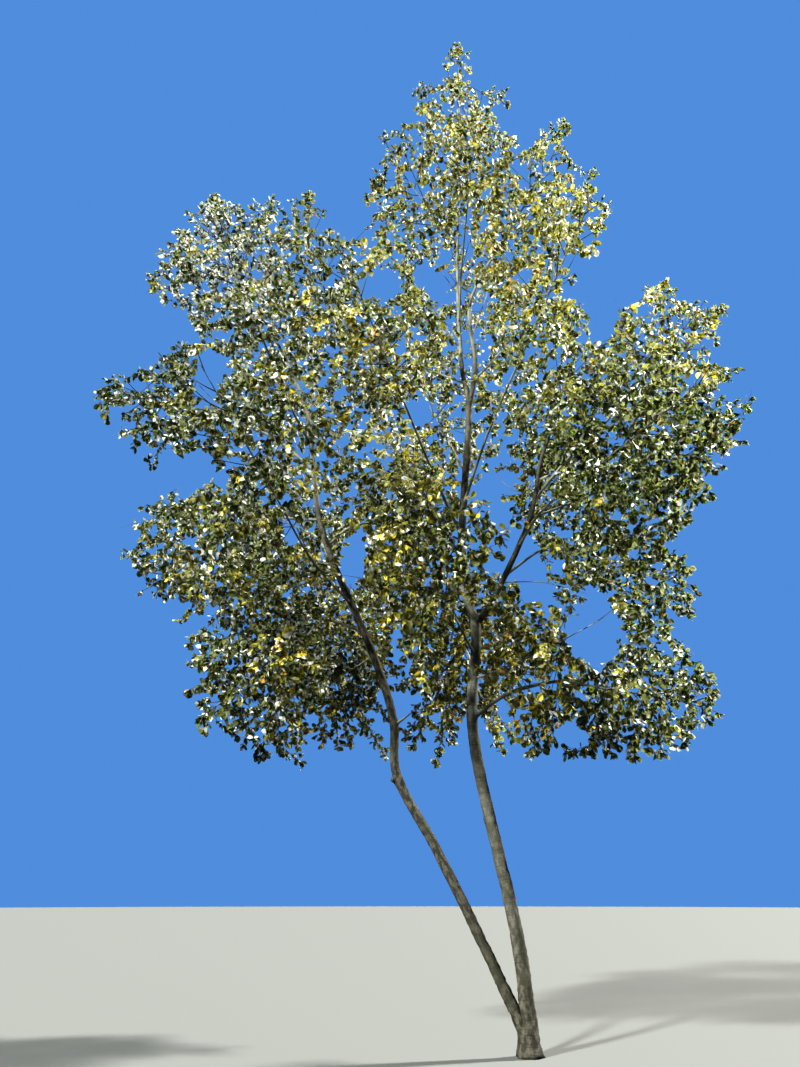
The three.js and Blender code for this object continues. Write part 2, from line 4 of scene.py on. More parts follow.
import bpy
import numpy as np
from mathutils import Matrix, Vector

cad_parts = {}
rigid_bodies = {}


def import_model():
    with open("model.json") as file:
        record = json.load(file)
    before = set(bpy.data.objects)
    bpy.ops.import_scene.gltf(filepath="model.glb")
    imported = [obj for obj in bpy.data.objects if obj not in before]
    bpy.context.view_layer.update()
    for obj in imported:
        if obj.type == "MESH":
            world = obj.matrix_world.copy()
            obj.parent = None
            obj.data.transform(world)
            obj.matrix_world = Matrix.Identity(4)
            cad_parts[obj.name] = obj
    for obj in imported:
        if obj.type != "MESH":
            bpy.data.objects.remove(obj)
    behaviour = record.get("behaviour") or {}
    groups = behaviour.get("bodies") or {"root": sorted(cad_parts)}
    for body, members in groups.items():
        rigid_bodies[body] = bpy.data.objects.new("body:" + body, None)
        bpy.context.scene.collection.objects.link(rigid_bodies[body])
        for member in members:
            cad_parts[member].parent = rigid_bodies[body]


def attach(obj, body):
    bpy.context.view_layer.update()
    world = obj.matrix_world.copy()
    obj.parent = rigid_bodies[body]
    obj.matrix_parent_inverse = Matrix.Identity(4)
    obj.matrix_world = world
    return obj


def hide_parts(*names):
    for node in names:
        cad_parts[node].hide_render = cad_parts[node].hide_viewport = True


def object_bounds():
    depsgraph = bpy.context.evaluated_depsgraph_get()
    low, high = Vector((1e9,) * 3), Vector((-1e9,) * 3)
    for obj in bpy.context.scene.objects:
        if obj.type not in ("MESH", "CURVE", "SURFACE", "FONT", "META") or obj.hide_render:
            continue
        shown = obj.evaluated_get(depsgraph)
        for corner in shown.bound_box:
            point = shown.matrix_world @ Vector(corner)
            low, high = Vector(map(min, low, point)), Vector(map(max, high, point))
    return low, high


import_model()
cad_box = [list(corner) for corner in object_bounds()]

# The camera of the front view, in a picture of 800 by 1067 pixels
PICTURE_WIDTH = 800
PICTURE_HEIGHT = 1067
FOCAL_PIXELS = 801
CAMERA_PLACE = (-1.32, -9.6, 1.5)
CAMERA_PITCH = math.radians(24.3)
SENSOR = 36
CAMERA_SIGHT = 300

# The bends of the two stems: how far right, how far back, how high, and the diameter there
TRUNK_BENDS = [
    [0, 0, 0, 0.185],
    [0, 0, 0.4, 0.156],
    [-0.08, 0.01, 1.2, 0.142],
    [-0.45, 0.02, 3.2, 0.13],
    [-0.375, 0, 4.5, 0.122],
    [-0.53, 0, 5.4, 0.1],
    [-0.35, 0.01, 7.7, 0.084],
    [-0.425, 0.03, 8.6, 0.06],
    [-0.43, 0.02, 10.4, 0.04],
    [-0.33, 0, 12.6, 0.024],
]
LEFT_STEM_BENDS = [
    [-0.02, 0, 0.18, 0.118],
    [-0.42, 0, 1, 0.112],
    [-0.91, 0, 1.96, 0.108],
    [-1.35, 0, 2.75, 0.104],
    [-1.4, 0, 3.4, 0.1],
    [-1.65, 0, 4.2, 0.094],
    [-2.35, 0, 5.9, 0.078],
    [-2.61, 0, 7.6, 0.056],
    [-2.97, 0, 8.6, 0.044],
]

# Boughs: name, parent, height there, diameter, and the points that they bend through
BOUGHS = [
    ["right_leader", "trunk", 7.72, 0.068, [[-0.23, -0.04, 8.5], [-0.24, -0.05, 9.7]]],
    ["upper_front_bough", "trunk", 9.3, 0.034, [[-0.41, -0.42, 9.95]]],
    ["upper_back_bough", "trunk", 9.65, 0.034, [[-0.37, 0.48, 10.35]]],
    ["middle_right_bough", "right_leader", 8.25, 0.032, [[0.01, 0, 8.56]]],
    ["front_right_bough", "trunk", 6.25, 0.04, [[-0.15, -0.62, 7.05]]],
    ["front_left_bough", "trunk", 5.8, 0.042, [[-0.85, -0.56, 6.3]]],
    ["back_middle_bough", "trunk", 6.75, 0.044, [[-0.54, 0.62, 7.45]]],
    ["east_bough", "trunk", 4.58, 0.084, [[-0.13, 0, 4.93], [0.4, 0, 6.05], [0.59, 0, 6.85]]],
    ["east_outer_bough", "east_bough", 6.33, 0.044, [[1, 0.01, 6.98], [1.48, 0.01, 7.45]]],
    ["right_middle_bough", "east_bough", 6.05, 0.036, [[1.05, 0.15, 6.38]]],
    ["back_right_bough", "east_bough", 6.6, 0.036, [[0.83, 0.56, 7]]],
    ["right_front_bough", "east_bough", 5.65, 0.036, [[0.47, -0.56, 5.9]]],
    ["right_low_bough", "east_bough", 5.25, 0.036, [[0.62, 0.02, 5.64]]],
    ["arched_bough", "trunk", 3.42, 0.056, [[0, -0.02, 3.72], [0.61, -0.04, 3.86]]],
    ["low_back_bough", "trunk", 3.95, 0.04, [[-0.43, 0.56, 4.35]]],
    ["north_west_bough", "trunk", 5.48, 0.056, [[-1.05, 0.02, 6.48], [-1.75, 0.04, 7.92]]],
    ["inner_bough", "left_stem", 5.65, 0.038, [[-2.03, 0.12, 5.95]]],
    ["left_arm", "left_stem", 6.78, 0.044, [[-3.06, 0, 7.28], [-3.9, 0, 7.7]]],
    ["left_outer_bough", "left_stem", 6.03, 0.038, [[-2.75, 0.02, 6.06], [-3.15, 0.03, 6.12]]],
    ["left_front_bough", "left_stem", 7.15, 0.038, [[-2.8, -0.52, 7.5]]],
    ["left_back_bough", "left_stem", 5.35, 0.04, [[-2.48, 0.62, 6.05]]],
    ["left_top_back_bough", "left_stem", 7.5, 0.038, [[-2.83, 0.56, 8.2]]],
    ["left_front_low_bough", "left_stem", 4.85, 0.036, [[-2.38, -0.56, 5.2]]],
    ["left_low_bough", "left_stem", 4.48, 0.034, [[-2.25, 0, 4.64]]],
    ["left_low_back_bough", "left_stem", 3.95, 0.036, [[-1.78, 0.56, 4.4]]],
]

# Leaf masses: name, the limb they grow on, centre, half sizes, and the height of a stem at its side
MASSES = [
    ["top_leaves", "trunk", [-0.3, 0, 14.05], [0.85, 0.9, 1.45]],
    ["upper_left_leaves", "trunk", [-1.15, -0.05, 12.1], [0.85, 1.05, 1.3], 10.85],
    ["upper_right_leaves", "right_leader", [0.85, 0.05, 12], [1.15, 1.1, 1.25]],
    ["upper_front_leaves", "upper_front_bough", [-0.3, -1.55, 11], [1.15, 1.05, 1.25]],
    ["upper_back_leaves", "upper_back_bough", [-0.3, 1.65, 11.5], [1.15, 1.05, 1.3]],
    ["middle_right_leaves", "middle_right_bough", [0.8, 0, 9.65], [0.95, 1.1, 1.05]],
    ["middle_left_leaves", "trunk", [-1.35, 0.15, 8.85], [0.95, 1.1, 1.05], 8.22],
    ["front_right_leaves", "front_right_bough", [0.55, -1.95, 8.3], [1.15, 1.25, 1.2]],
    ["front_left_leaves", "front_left_bough", [-1.6, -2, 7.5], [1.15, 1.2, 1.2]],
    ["back_middle_leaves", "back_middle_bough", [-0.7, 2.05, 8.9], [1.2, 1.2, 1.35]],
    ["right_top_leaves", "east_outer_bough", [2.55, 0, 8.75], [1.1, 1.2, 1.15]],
    ["right_middle_leaves", "right_middle_bough", [2.4, 0.1, 6.95], [1.2, 1.15, 1]],
    ["right_inner_leaves", "east_bough", [0.95, 0.05, 7.9], [0.9, 1, 0.95]],
    ["back_right_leaves", "back_right_bough", [1.45, 2.15, 7.6], [1.15, 1.2, 1.2]],
    ["right_front_leaves", "right_front_bough", [1.35, -1.95, 6.2], [1.15, 1.25, 1.15]],
    ["right_low_leaves", "right_low_bough", [1.7, 0, 5.3], [0.95, 1.1, 0.95]],
    ["right_skirt_leaves", "arched_bough", [1.5, -0.1, 3.7], [1, 1.15, 0.85]],
    ["low_right_leaves", "trunk", [0.35, -0.75, 4.1], [0.85, 0.95, 0.95], 3.9],
    ["low_back_leaves", "low_back_bough", [-0.4, 2, 5], [1.2, 1.2, 1.15]],
    ["inner_leaves", "inner_bough", [-1.25, 0.5, 6.4], [0.9, 1, 1]],
    ["low_middle_leaves", "trunk", [-1.05, -1.5, 4.95], [0.9, 1.1, 1], 4.2],
    ["left_top_leaves", "left_stem", [-4.05, 0, 10.55], [1.15, 1.2, 1.3]],
    ["left_top_inner_leaves", "north_west_bough", [-2.65, 0.05, 10.45], [1, 1.15, 1.35]],
    ["left_top_back_leaves", "left_top_back_bough", [-3.35, 2.05, 9.5], [1.15, 1.15, 1.25]],
    ["left_front_leaves", "left_front_bough", [-3.35, -1.9, 8.5], [1.15, 1.25, 1.25]],
    ["left_back_leaves", "left_back_bough", [-3.1, 2.2, 7], [1.2, 1.2, 1.2]],
    ["left_arm_leaves", "left_arm", [-4.7, 0, 7.9], [0.9, 1.05, 0.9]],
    ["left_outer_leaves", "left_outer_bough", [-3.85, 0.05, 5.6], [1.05, 1.15, 0.9]],
    ["left_front_low_leaves", "left_front_low_bough", [-3, -1.95, 6], [1.15, 1.25, 1.2]],
    ["left_low_leaves", "left_low_bough", [-2.95, 0, 4.05], [1, 1.2, 1]],
    ["left_low_back_leaves", "left_low_back_bough", [-2.2, 2, 4.9], [1.15, 1.2, 1.1]],
]

# Lengths and shares that are as good as nothing
TINY = 1e-9
SLIGHT = 1e-6

# From which share on a direction counts as upright, or as running to the right
UPRIGHT = 0.9
SIDEWAYS = 0.8

# Root collar: its flare, and the swelling where the left stem leaves the trunk
FLARE_DIAMETER = 0.29
FLARE_HEIGHT = 0.17
FLARE_LOBES = 5
FLARE_LOBE_DEPTH = 0.16
FORK_HEIGHT = 0.2
FORK_WAY = (-1.0, 0, 0.3)
FORK_RADIUS = 0.055

# How thin limbs grow: a bough to its end, the left stem to its end, and a mass's stem to its far end
BOUGH_TAPER = 0.55
OPEN_BRANCH_TAPER = 0.2
LEFT_STEM_TIP_RADIUS = 0.013
SIDE_STEM_RADIUS = 0.015
STEM_TIP_RADIUS = 0.004
STEM_TIP_CURVE = 0.8

# How far a limb reaches into its mass, and how a mass's stem runs on from there
BOUGH_ENTRY = 0.62
STEM_BEND = 0.5
STEM_SAG = 0.08
STEM_END_ROOM = 0.2
STEM_LEAST = 0.2
STEM_STEP_BACK = 0.1

# How many points the line of a limb has
CURVE_POINTS = 24
TRUNK_POINTS = 180
LEFT_STEM_POINTS = 150
BOUGH_POINTS = 24
BOUGH_POINTS_A_BEND = 12
OPEN_BRANCH_POINTS_A_BEND = 14
MASS_STEM_POINTS = 16
STUB_POINTS = 5

# The dead stub on the left stem
STUB_HEIGHT = 2.68
STUB_DIRECTION = (-0.8, -0.35, 0.35)
STUB_LENGTH = 0.11
STUB_RADII = (0.036, 0.028)

# Thin branches that show in the open places: parent, height there, diameter, and the points they run to
OPEN_BRANCHES = [
    ("trunk", 8.8, 0.02, [[-0.87, 0, 9.6], [-1.25, 0.02, 10.35]]),
    ("trunk", 8.0, 0.016, [[-1.0, -0.03, 8.45]]),
    ("trunk", 7.58, 0.012, [[-0.86, -0.02, 7.66]]),
    ("trunk", 9.85, 0.016, [[-0.8, 0.02, 10.5]]),
    ("right_leader", 8.97, 0.018, [[0.26, 0, 10.6], [0.6, 0, 11.6]]),
    ("east_bough", 6.15, 0.018, [[0.86, 0, 6.31]]),
    ("east_bough", 5.15, 0.016, [[0.5, -0.02, 5.14], [1.05, 0, 5.0]]),
    ("east_bough", 6.4, 0.014, [[0.16, 0.02, 6.52], [-0.05, 0, 6.8]]),
    ("arched_bough", 3.8, 0.014, [[1.54, 0, 4.02], [1.8, 0, 4.45]]),
    ("left_stem", 3.34, 0.044, [[-1.27, -0.05, 3.41], [-1.17, -0.07, 3.48]]),
    ("left_stem", 5.39, 0.018, [[-2.87, -0.02, 5.46], [-3.4, 0, 5.34]]),
    ("left_stem", 4.19, 0.014, [[-2.16, -0.02, 3.84], [-2.4, 0, 3.75]]),
    ("left_arm", 7.6, 0.014, [[-4.3, 0, 8.3], [-4.42, 0, 8.72]]),
]

# Long shoots that stand or hang out of the crown: the mass they belong to, and their tips
LONG_SHOOTS = [
    ("top", [[-0.28, 0, 15.44], [0.55, 0.05, 14.12], [-1.0, 0, 14.35]]),
    ("upper_right", [[1.5, 0, 13.52], [2.0, 0, 11.6]]),
    ("upper_left", [[-1.75, 0, 12.2]]),
    ("left_arm", [[-4.45, 0, 8.88], [-5.5, 0, 8.0]]),
    ("right_top", [[3.5, 0, 9.5], [2.68, 0, 9.98]]),
    ("left_top", [[-5.15, 0, 10.1], [-4.32, 0, 11.85], [-3.36, 0, 11.76]]),
    ("left_top_inner", [[-2.78, 0, 11.85]]),
    ("left_low_back", [[-1.35, 1.9, 3.66]]),
    ("low_back", [[-0.78, 1.9, 3.55]]),
    ("low_middle", [[-1.07, -1.2, 3.48]]),
    ("low_back", [[0.01, 1.5, 3.40]]),
    ("low_right", [[0.01, -0.7, 3.07]]),
    ("right_skirt", [[0.60, -0.1, 3.01]]),
    ("left_low", [[-2.97, 0.2, 3.01]]),
    ("left_low_back", [[-2.17, 1.6, 3.36], [-2.0, 1.7, 3.42], [-1.52, 1.2, 3.18]]),
    ("low_back", [[-1.15, 1.6, 3.37], [-0.84, 1.1, 3.09], [-0.57, 2.1, 3.54], [0.04, 1.3, 3.28]]),
    ("low_right", [[0.15, -0.4, 2.97]]),
    ("left_low_back", [[-1.81, 2.2, 3.69]]),
    ("low_back", [[-1.25, 2.4, 3.61], [-0.99, 1.5, 3.67], [-0.59, 2.2, 3.66], [0.25, 1.8, 3.51]]),
    ("low_right", [[0.46, 0.2, 3.15]]),
    ("left_low_back", [[-2.35, 1.2, 3.32]]),
    ("left_low", [[-2.51, 0.2, 2.94]]),
]

# Chance: the seeds, and about a full turn, in radians
SEED = 41
LEAF_SEED = 141
ANY_TURN = 6.28

# The branches of a mass round its stem
GOLDEN_ANGLE = math.radians(137.5)
BRANCHES_A_MASS = 13
BRANCH_FIRST = 0.1
BRANCH_OPEN_ANGLE = 80
BRANCH_TIP_ANGLE = 30
BRANCH_TURN_ANY = 0.7
BRANCH_LEAST = 0.25
BRANCH_END_ROOM = (0.1, 0.35)
BRANCH_LIFT = 0.12
BRANCH_LIFT_ANY = (0.3, 1.6)
BRANCH_RADIUS = 0.008
BRANCH_POINTS = 7
BRANCH_TRIES = 5
BRANCH_SHORTER = 0.7
BRANCH_LEAVES_FROM = 0.75
BRANCH_LEAF_SPACING = 1.5
LEAD_ROOM = 0.02
SEATS_A_BRANCH = 24
STEM_SEATS_FROM = 0.05
SEATS_FROM = 0.1

# The space of a mass: its roundness, how its edge stands in and out, and the room between two masses
SPACE_SCALE = 0.93
SPACE_ROUNDNESS = 1.9
SPIRE_MASS = "top_leaves"
SPIRE_ROUNDNESS = 1.15
BULGE_DEPTH = 0.16
BULGE_WAVES = np.array([[5, 2, 1], [-2, 4, 3], [1, -3, 5], [3, 3, -4]])
BULGE_SHIFT = 1.7
BORDER_ROOM = 0.02
BETWEEN_SCALE = 1.55
BETWEEN_NEIGHBOURS = 2

# Where twigs end in it, on evenly spread points: more outside than inside, in clumps, and more low down
TWIGS_A_CUBIC_METRE = 80
EVEN_STEPS = np.array([0.8191725, 0.6710436, 0.5497005])
INNER_SHARE = 0.45
CLUMP_WAVES = np.array([[7, 3, 2], [-3, 5, 6], [2, -6, 5]])
CLUMP_DEPTH = 0.8
CLUMP_MIDDLE = 0.85
CLUMP_LEAST = 0.1
LEAFINESS_HEIGHTS = [4, 6, 8, 10, 12, 15]
LEAFINESS = [1.5, 1.05, 0.64, 0.5, 0.42, 0.46]
STANDING_OUT = 0.15
STANDING_OUT_FROM = 0.75
STANDING_OUT_BY = (0.05, 0.25)

# Twigs: how long and thick, how they bend towards their end, and where their leaves start
TWIG_LEAST = 0.07
TWIG_MOST = 0.7
TWIG_RADIUS = 0.0022
TWIG_TIP_RADIUS = 0.0012
TWIG_THICKNESS = (0.7, 1.9)
TWIG_POINTS = 3
TWIG_SEATS = 4
TWIG_SIDEWAYS = 0.45
TWIG_BEND = 0.4
TWIG_PULL = 0.2
TWIG_BENT_FROM = 0.3
TWIG_LONG_FROM = 0.4
TWIG_LEAVES_FROM = (0.15, 0.35)
BARE_TWIG_LEAVES = 2

# Long shoots and their side twigs
SHOOT_FROM = 0.75
SHOOT_SAG = 0.1
SHOOT_POINTS = 10
SHOOT_RADIUS = 0.005
SHOOT_LEAVES_FROM = 0.5
SHOOT_LEAF_STEP = 0.04
SHOOT_END_LEAVES = 4
SHOOT_TWIG_PLACES = np.arange(0.5, 0.95, 0.06)
SHOOT_TWIG_ANGLES = (30, 50)
SHOOT_TWIG_LENGTHS = (0.14, 0.42)
SHOOT_TWIG_NONE_AT = 1.25
SHOOT_TWIG_LIFT = 0.1
SHOOT_TWIG_POINTS = 4
SHOOT_TWIG_LEAVES_FROM = 0.3
SHOOT_TWIG_END_LEAVES = 2

# Leaves along a twig
LEAF_STEP = 0.026
LEAF_ANGLES = (35, 75)
END_LEAVES = 3

# The crown's edge in the front view's pixels, from the top round to the right
CROWN_EDGE = [
    (458, 42), (468, 66), (474, 92), (486, 112), (498, 122), (506, 134), (530, 142), (552, 134),
    (572, 140), (582, 162), (596, 182), (608, 204), (606, 238), (594, 264), (566, 282), (562, 298),
    (584, 312), (597, 342), (612, 310), (628, 294), (660, 288), (692, 302), (718, 312), (720, 340),
    (716, 362), (740, 370), (742, 400), (750, 430), (728, 452), (708, 474), (702, 500), (688, 520),
    (674, 536), (690, 570), (700, 640), (716, 690), (700, 742), (640, 766), (560, 756), (500, 748),
    (440, 746), (380, 742), (330, 750), (280, 756), (232, 752), (208, 730), (196, 700), (182, 670),
    (164, 642), (172, 618), (142, 592), (122, 552), (148, 500), (132, 472), (92, 446), (92, 400),
    (118, 368), (150, 364), (180, 352), (198, 346), (202, 330), (186, 308), (162, 302), (146, 284),
    (154, 260), (178, 240), (190, 214), (214, 200), (232, 206), (256, 210), (276, 204), (308, 200),
    (330, 210), (346, 238), (362, 240), (360, 206), (374, 184), (388, 160), (384, 130), (408, 120),
    (430, 106), (442, 84), (450, 60),
]
CROWN_MIDDLE = (430, 430)
EDGE_ROOM = 7

# The waves that make the edge uneven: their height in pixels, pixels a radian down and across,
# and radians a metre of depth
EDGE_WAVE = 4
DEPTH_WAVE = 3
DOWN_STEP = 5
ACROSS_STEP = 6
DEPTH_TURNS = (9, 7)

# Where the crown is fuller or thinner than elsewhere: middle and half size there, and how much more
FULL_PLACES = [
    (425, 660, 60, 90, 2.4),
    (530, 690, 90, 60, 1.1),
    (480, 320, 80, 70, -0.3),
    (290, 680, 110, 80, 0.7),
    (640, 430, 90, 120, -0.45),
    (660, 345, 60, 55, 0.5),
    (450, 200, 100, 100, 0.08),
    (240, 260, 80, 60, -0.22),
    (150, 430, 50, 70, 0.8),
    (640, 680, 70, 50, 0.3),
    (525, 470, 40, 60, 0.8),
]

# Places in the crown where sky shows, in the front view's pixels: middle, half width and half height
SKY_GAPS = [
    (435, 281, 22, 17),
    (383, 282, 17, 17),
    (422, 412, 20, 16),
    (210, 372, 18, 28),
    (186, 470, 34, 26),
    (290, 530, 8, 17),
    (352, 560, 13, 28),
    (522, 556, 17, 32),
    (592, 628, 30, 38),
    (537, 590, 20, 17),
    (602, 325, 14, 28),
    (352, 222, 12, 22),
    (575, 262, 15, 14),
]

# Their uneven edge, and how much of them is kept free of twig ends, of twigs and of leaves
GAP_WAVE = 0.3
GAP_STEPS = [(7, 11), (5, -6)]
GAP_FOR_ENDS = 1.0
GAP_FOR_TWIGS = 0.8
GAP_FOR_LEAVES = 0.6

# Bark skins: corners round a limb and the step from ring to ring, the fewest steps,
# and how far the end of a skin stands out, as a share of such a step
STEM_SKINS = {"trunk": (30, 0.04), "left_stem": (30, 0.04), "stub": (14, 0.012)}
BOUGH_SKIN = (12, 0.055)
LEAST_RINGS = 5
TIP_ROUND = 0.2

# How bark swells round a limb's foot, and where a limb leaves, in radii of the limb that grows there,
# and the least reach of such a swelling
COLLAR_SHARE = 0.45
COLLAR_LENGTH = 2.4
SEAT_SHARE = 0.45
SEAT_REACH = 1.3
SEAT_LEAST_REACH = 0.012

# How far apart the patterns of two limbs are
BARK_SHIFT = 7.3

# Bark relief: depth as a share of the radius, waves round the limb and waves a metre, and how many
LUMPS = (0.035, (1, 3), (0.6, 2.6), 6)
ROUGHNESS = (0.016, (3, 8), (4, 16), 12)
FOLDS = (0.014, (0, 1), (7, 20), 6)
RIDGES = (1, (5, 9), (0.8, 3.5), 8)

# Old bark low on the thick stems: furrows along the zero lines of RIDGES, and plates
OLD_BARK_HEIGHT = 3.2
OLD_BARK_FULL = 1.15
OLD_BARK_RADIUS = 0.03
FURROW_DEPTH = 0.14
FURROW_WIDTH = 0.35
PLATE_DEPTH = 0.05

# Knots: how many, their size as a share of the radius, their height, and the eye in their middle
KNOTS_A_METRE = 4
KNOT_SIZES = (0.18, 0.38)
KNOT_WIDTH = 1.5
KNOT_LENGTH = 1.3
KNOT_HEIGHT = 0.2
KNOT_EYE_DEPTH = 1.3
KNOT_EYE_NARROWER = 5

# How much older, and so darker, than its girth a limb's bark looks, mostly as painted shade and light:
# darker on the trunk's middle, the left stem and the boughs where foliage shades them, paler on the trunk
# low in the crown's shadow: heights, and the factor at each
BARK_AGES_AND_SHADE = {
    "trunk": ([3.2, 3.9, 4.9, 5.6, 8.2, 9.5], [1, 0.75, 0.75, 1.7, 1.6, 1]),
    "left_stem": ([3, 5, 7, 8.5], [1.8, 2.2, 1.6, 1.2]),
    "stub": ([0], [4]),
    "east_bough": ([0], [2.4]),
    "east_outer_bough": ([0], [2]),
    "right_leader": ([8, 9], [2.2, 1.2]),
}

# A leaf, as shares of its length with its stalk: stalk foot, points of the right side, tip
ROUND_LEAF = [(0, 0), (0.018, 0.3), (0.36, 0.46), (0.32, 0.8), (0, 1)]
LOBED_LEAF = [(0, 0), (0.018, 0.3), (0.38, 0.4), (0.27, 0.56), (0.38, 0.74), (0.17, 0.76), (0, 1)]
LEAF_MIDDLE = 0.6
LEAF_THICKNESS = 0.006

# Forms of a leaf: width, fold along the middle and curl to the tip
ROUND_FORMS = [(1, 0.12, 0.1), (0.95, 0.4, 0.02), (0.88, -0.05, 0.22), (0.8, 0.2, 0.3)]
LOBED_FORM = (1, 0.1, 0.12)
LOBED_SHARE = 0.08

# The size of a leaf and how it hangs
LEAF_LENGTH = 0.106
LEAF_SIZES = (0.62, 1.12)
LEAF_REACH = 0.08
LEAF_DROOP = 0.6
LEAF_OUTWARD = 0.7
LEAF_WAY_ANY = 0.35
LEAF_FACE_UP = 0.45
LEAF_FACE_OUT = 0.15
LEAF_FACE_ANY = 0.85
CROWN_CENTRE = [-0.9, 0, 7.5]
CROWN_ROUNDING = [1, 1, 0.5]

# How far within the box of the solids leaves stay
BOX_ROOM = 0.02

# Leaves that the wind has turned over: their share, and where their upper side looks
TURNED_SHARE = 0.24
TURNED_WAY = (-0.62, 0.55, -0.25)
TURNED_ANY = 0.35

# Tints: how far a spray has turned at the foot and less so at the top of the tree, which also paints the
# top darker and the foot lighter as painted shade and light, and how they vary
TREE_HEIGHT = 15.5
FOOT_WARMTH_AND_LIGHT = 1.4
WARMTH_AND_SHADE_FALL = 0.75
SPRAY_TINT_ANY = 0.85
LEAF_TINT_ANY = 0.75
TINT_WAVES = np.array([[5, 2, 4], [-3, 5, 4], [4, -3, 5.5]])
TINT_WAVE_DEPTH = 0.65
AMBER_FROM = 4.2
AMBER_SHARE = 0.008

# How many undersides are white: at the foot of the tree, at its top, and more of the turned leaves
WHITE_SHARE_LOW = 0.28
WHITE_SHARE_HIGH = 0.24
WHITE_SHARE_TURNED = 0.6
FELT_BY_SPRAY = 0.5

# Leaf finishes: base colour and roughness, from deep green to amber, and the felt below
UPPER_FINISHES = {
    "deep_green": ((27, 37, 10), 0.4),
    "olive_green": ((54, 61, 18), 0.4),
    "fresh_green": ((88, 89, 33), 0.42),
    "yellow_green": ((146, 137, 29), 0.45),
    "yellow": ((210, 187, 34), 0.5),
    "amber": ((198, 150, 60), 0.55),
}
UNDER_FINISHES = {"white_felt": ((234, 238, 226), 0.85), "olive_felt": ((91, 99, 45), 0.8)}

# How much light leaves let through, how far, and its colour
LEAF_GLOW = 0.3
LEAF_GLOW_DEPTH = 0.004
GREEN_GLOW = (1, 1, 0.3)
FELT_GLOW = (1, 1, 0.85)

# Where sprays have turned more, and where leaves are painted lighter or darker as painted light and shade:
# middle and half size in the front view's pixels, and how much
WARM_AND_PAINTED_LIGHT_PLACES = [
    (500, 210, 90, 110, 1.1),
    (440, 150, 60, 60, 0.5),
    (570, 250, 70, 80, 0.9),
    (287, 305, 30, 25, 1.4),
    (190, 600, 16, 14, 3.2),
    (455, 70, 25, 30, 1.6),
    (350, 410, 60, 110, 0.9),
    (430, 440, 50, 70, 1.0),
    (150, 430, 60, 80, -1.5),
    (665, 350, 60, 50, 0.9),
    # Darker greens on the right: painted shade where other trees shade the crown
    (660, 470, 110, 90, -1.7),
    (640, 650, 90, 90, -1.2),
    # Yellower low in the middle: partly painted light where the crown's own shadow falls
    (440, 640, 90, 110, 1.2),
    (535, 690, 60, 60, 1.3),
    (270, 660, 100, 70, -0.2),
]

# Where more leaves are turned over and show a white side, in the same way
WHITE_PLACES = [
    (225, 255, 85, 70, 0.75),
    (455, 90, 40, 60, 0.25),
    (660, 330, 60, 40, 0.2),
    (330, 420, 130, 90, 0.15),
    (650, 480, 130, 150, -0.3),
    (270, 650, 90, 80, 0.1),
]

# Places where limbs show through thinner leaves, in the same way, the share left out,
# and how far back that goes
THIN_PLACES = [
    (464, 320, 15, 110, 0.85, 0.1),
    (466, 300, 22, 80, 0.3, 9),
    (468, 470, 14, 70, 0.6, 0.1),
    (472, 690, 18, 90, 0.7, 0.1),
    (345, 560, 20, 60, 0.6, 0.1),
    (370, 650, 20, 60, 0.6, 0.1),
    (392, 740, 22, 60, 0.85, 0.1),
    (520, 570, 24, 60, 0.5, 0.1),
    (490, 703, 18, 14, 0.75, 0.0),
    (520, 687, 22, 13, 0.75, 0.0),
    (557, 680, 26, 12, 0.75, 0.0),
    (592, 688, 20, 12, 0.6, 0.0),
    (318, 510, 14, 34, 0.6, 0.0),
    (300, 465, 12, 34, 0.5, 0.0),
    (352, 512, 24, 12, 0.5, 0.1),
    (388, 435, 13, 45, 0.6, 0.0),
    (303, 415, 12, 40, 0.7, 0.0),
    (295, 375, 11, 28, 0.5, 0.0),
]

# The leaf pieces and the masses that each stands for
LEAF_REGIONS = {
    "top": ["top", "upper_left", "upper_right", "upper_front", "upper_back"],
    "middle": ["middle_right", "middle_left", "front_right", "back_middle"],
    "inner": ["front_left", "inner", "low_middle"],
    "right": ["right_top", "right_middle", "right_inner", "back_right", "right_front"],
    "right_low": ["right_low", "right_skirt", "low_right", "low_back"],
    "left_top": ["left_top", "left_top_inner", "left_top_back", "left_front"],
    "left_outer": ["left_back", "left_arm", "left_outer"],
    "left_low": ["left_front_low", "left_low", "left_low_back"],
}

# Bark colours, as on a screen, and black as the renderer counts it
PALE_BARK = (146, 147, 136)
GREEN_BARK = (90, 91, 76)
MARK_BARK = (40, 38, 34)
OLD_BARK = (50, 47, 41)
WORN_BARK = (92, 88, 76)
MOSS_BARK = (62, 65, 48)
BLACK = (0, 0, 0, 1)

# The girth from which bark is all old, and the one up to which it is all young
STEM_BARK_GIRTHS = (0.08, 0.042)
BOUGH_BARK_GIRTHS = (0.07, 0.02)

# Bark patterns: how many a metre round and along a limb, how fine, and where each starts and is full
BARK_PATTERNS = {
    "blotch": ((9, 9, 3.5), 6, 0.42, 0.66),
    "streak": ((60, 60, 16), 5, 0.45, 0.66),
    "patch": ((24, 24, 13), 6, 0.43, 0.6),
    "ring": ((4, 4, 75), 3, 0.56, 0.68),
}
PIT_PATTERN = ((42, 42, 78), 0.34, 0.2)
GRAIN_SCALE = 160
GRAIN_DETAIL = 4

# How strongly marks show on young and on old bark
YOUNG_RINGS = 0.55
YOUNG_PITS = 0.9
OLD_STREAKS = 0.45
OLD_MOSS = 0.6
OLD_RINGS = 0.7

# The fine relief of bark: grain against streaks, how deep pits and rings are cut, and how high it is
GRAIN_SHARE = 0.45
PIT_CUT = 0.5
RING_CUT = 0.4
FINE_RELIEF = 0.7
FINE_RELIEF_HEIGHT = 0.006
BARK_ROUGHNESS = 0.82
BARK_SHINE = 0.3

# Fine branches and twigs: sides, and the two colours of their bark, with its pattern as above
BRANCH_LOOK = (5, (60, 56, 44), (38, 35, 29))
TWIG_LOOK = (3, (58, 48, 34), (38, 32, 25))
TWIG_PATTERN = (14, 4, 0.4, 0.62)
TWIG_ROUGHNESS = 0.75

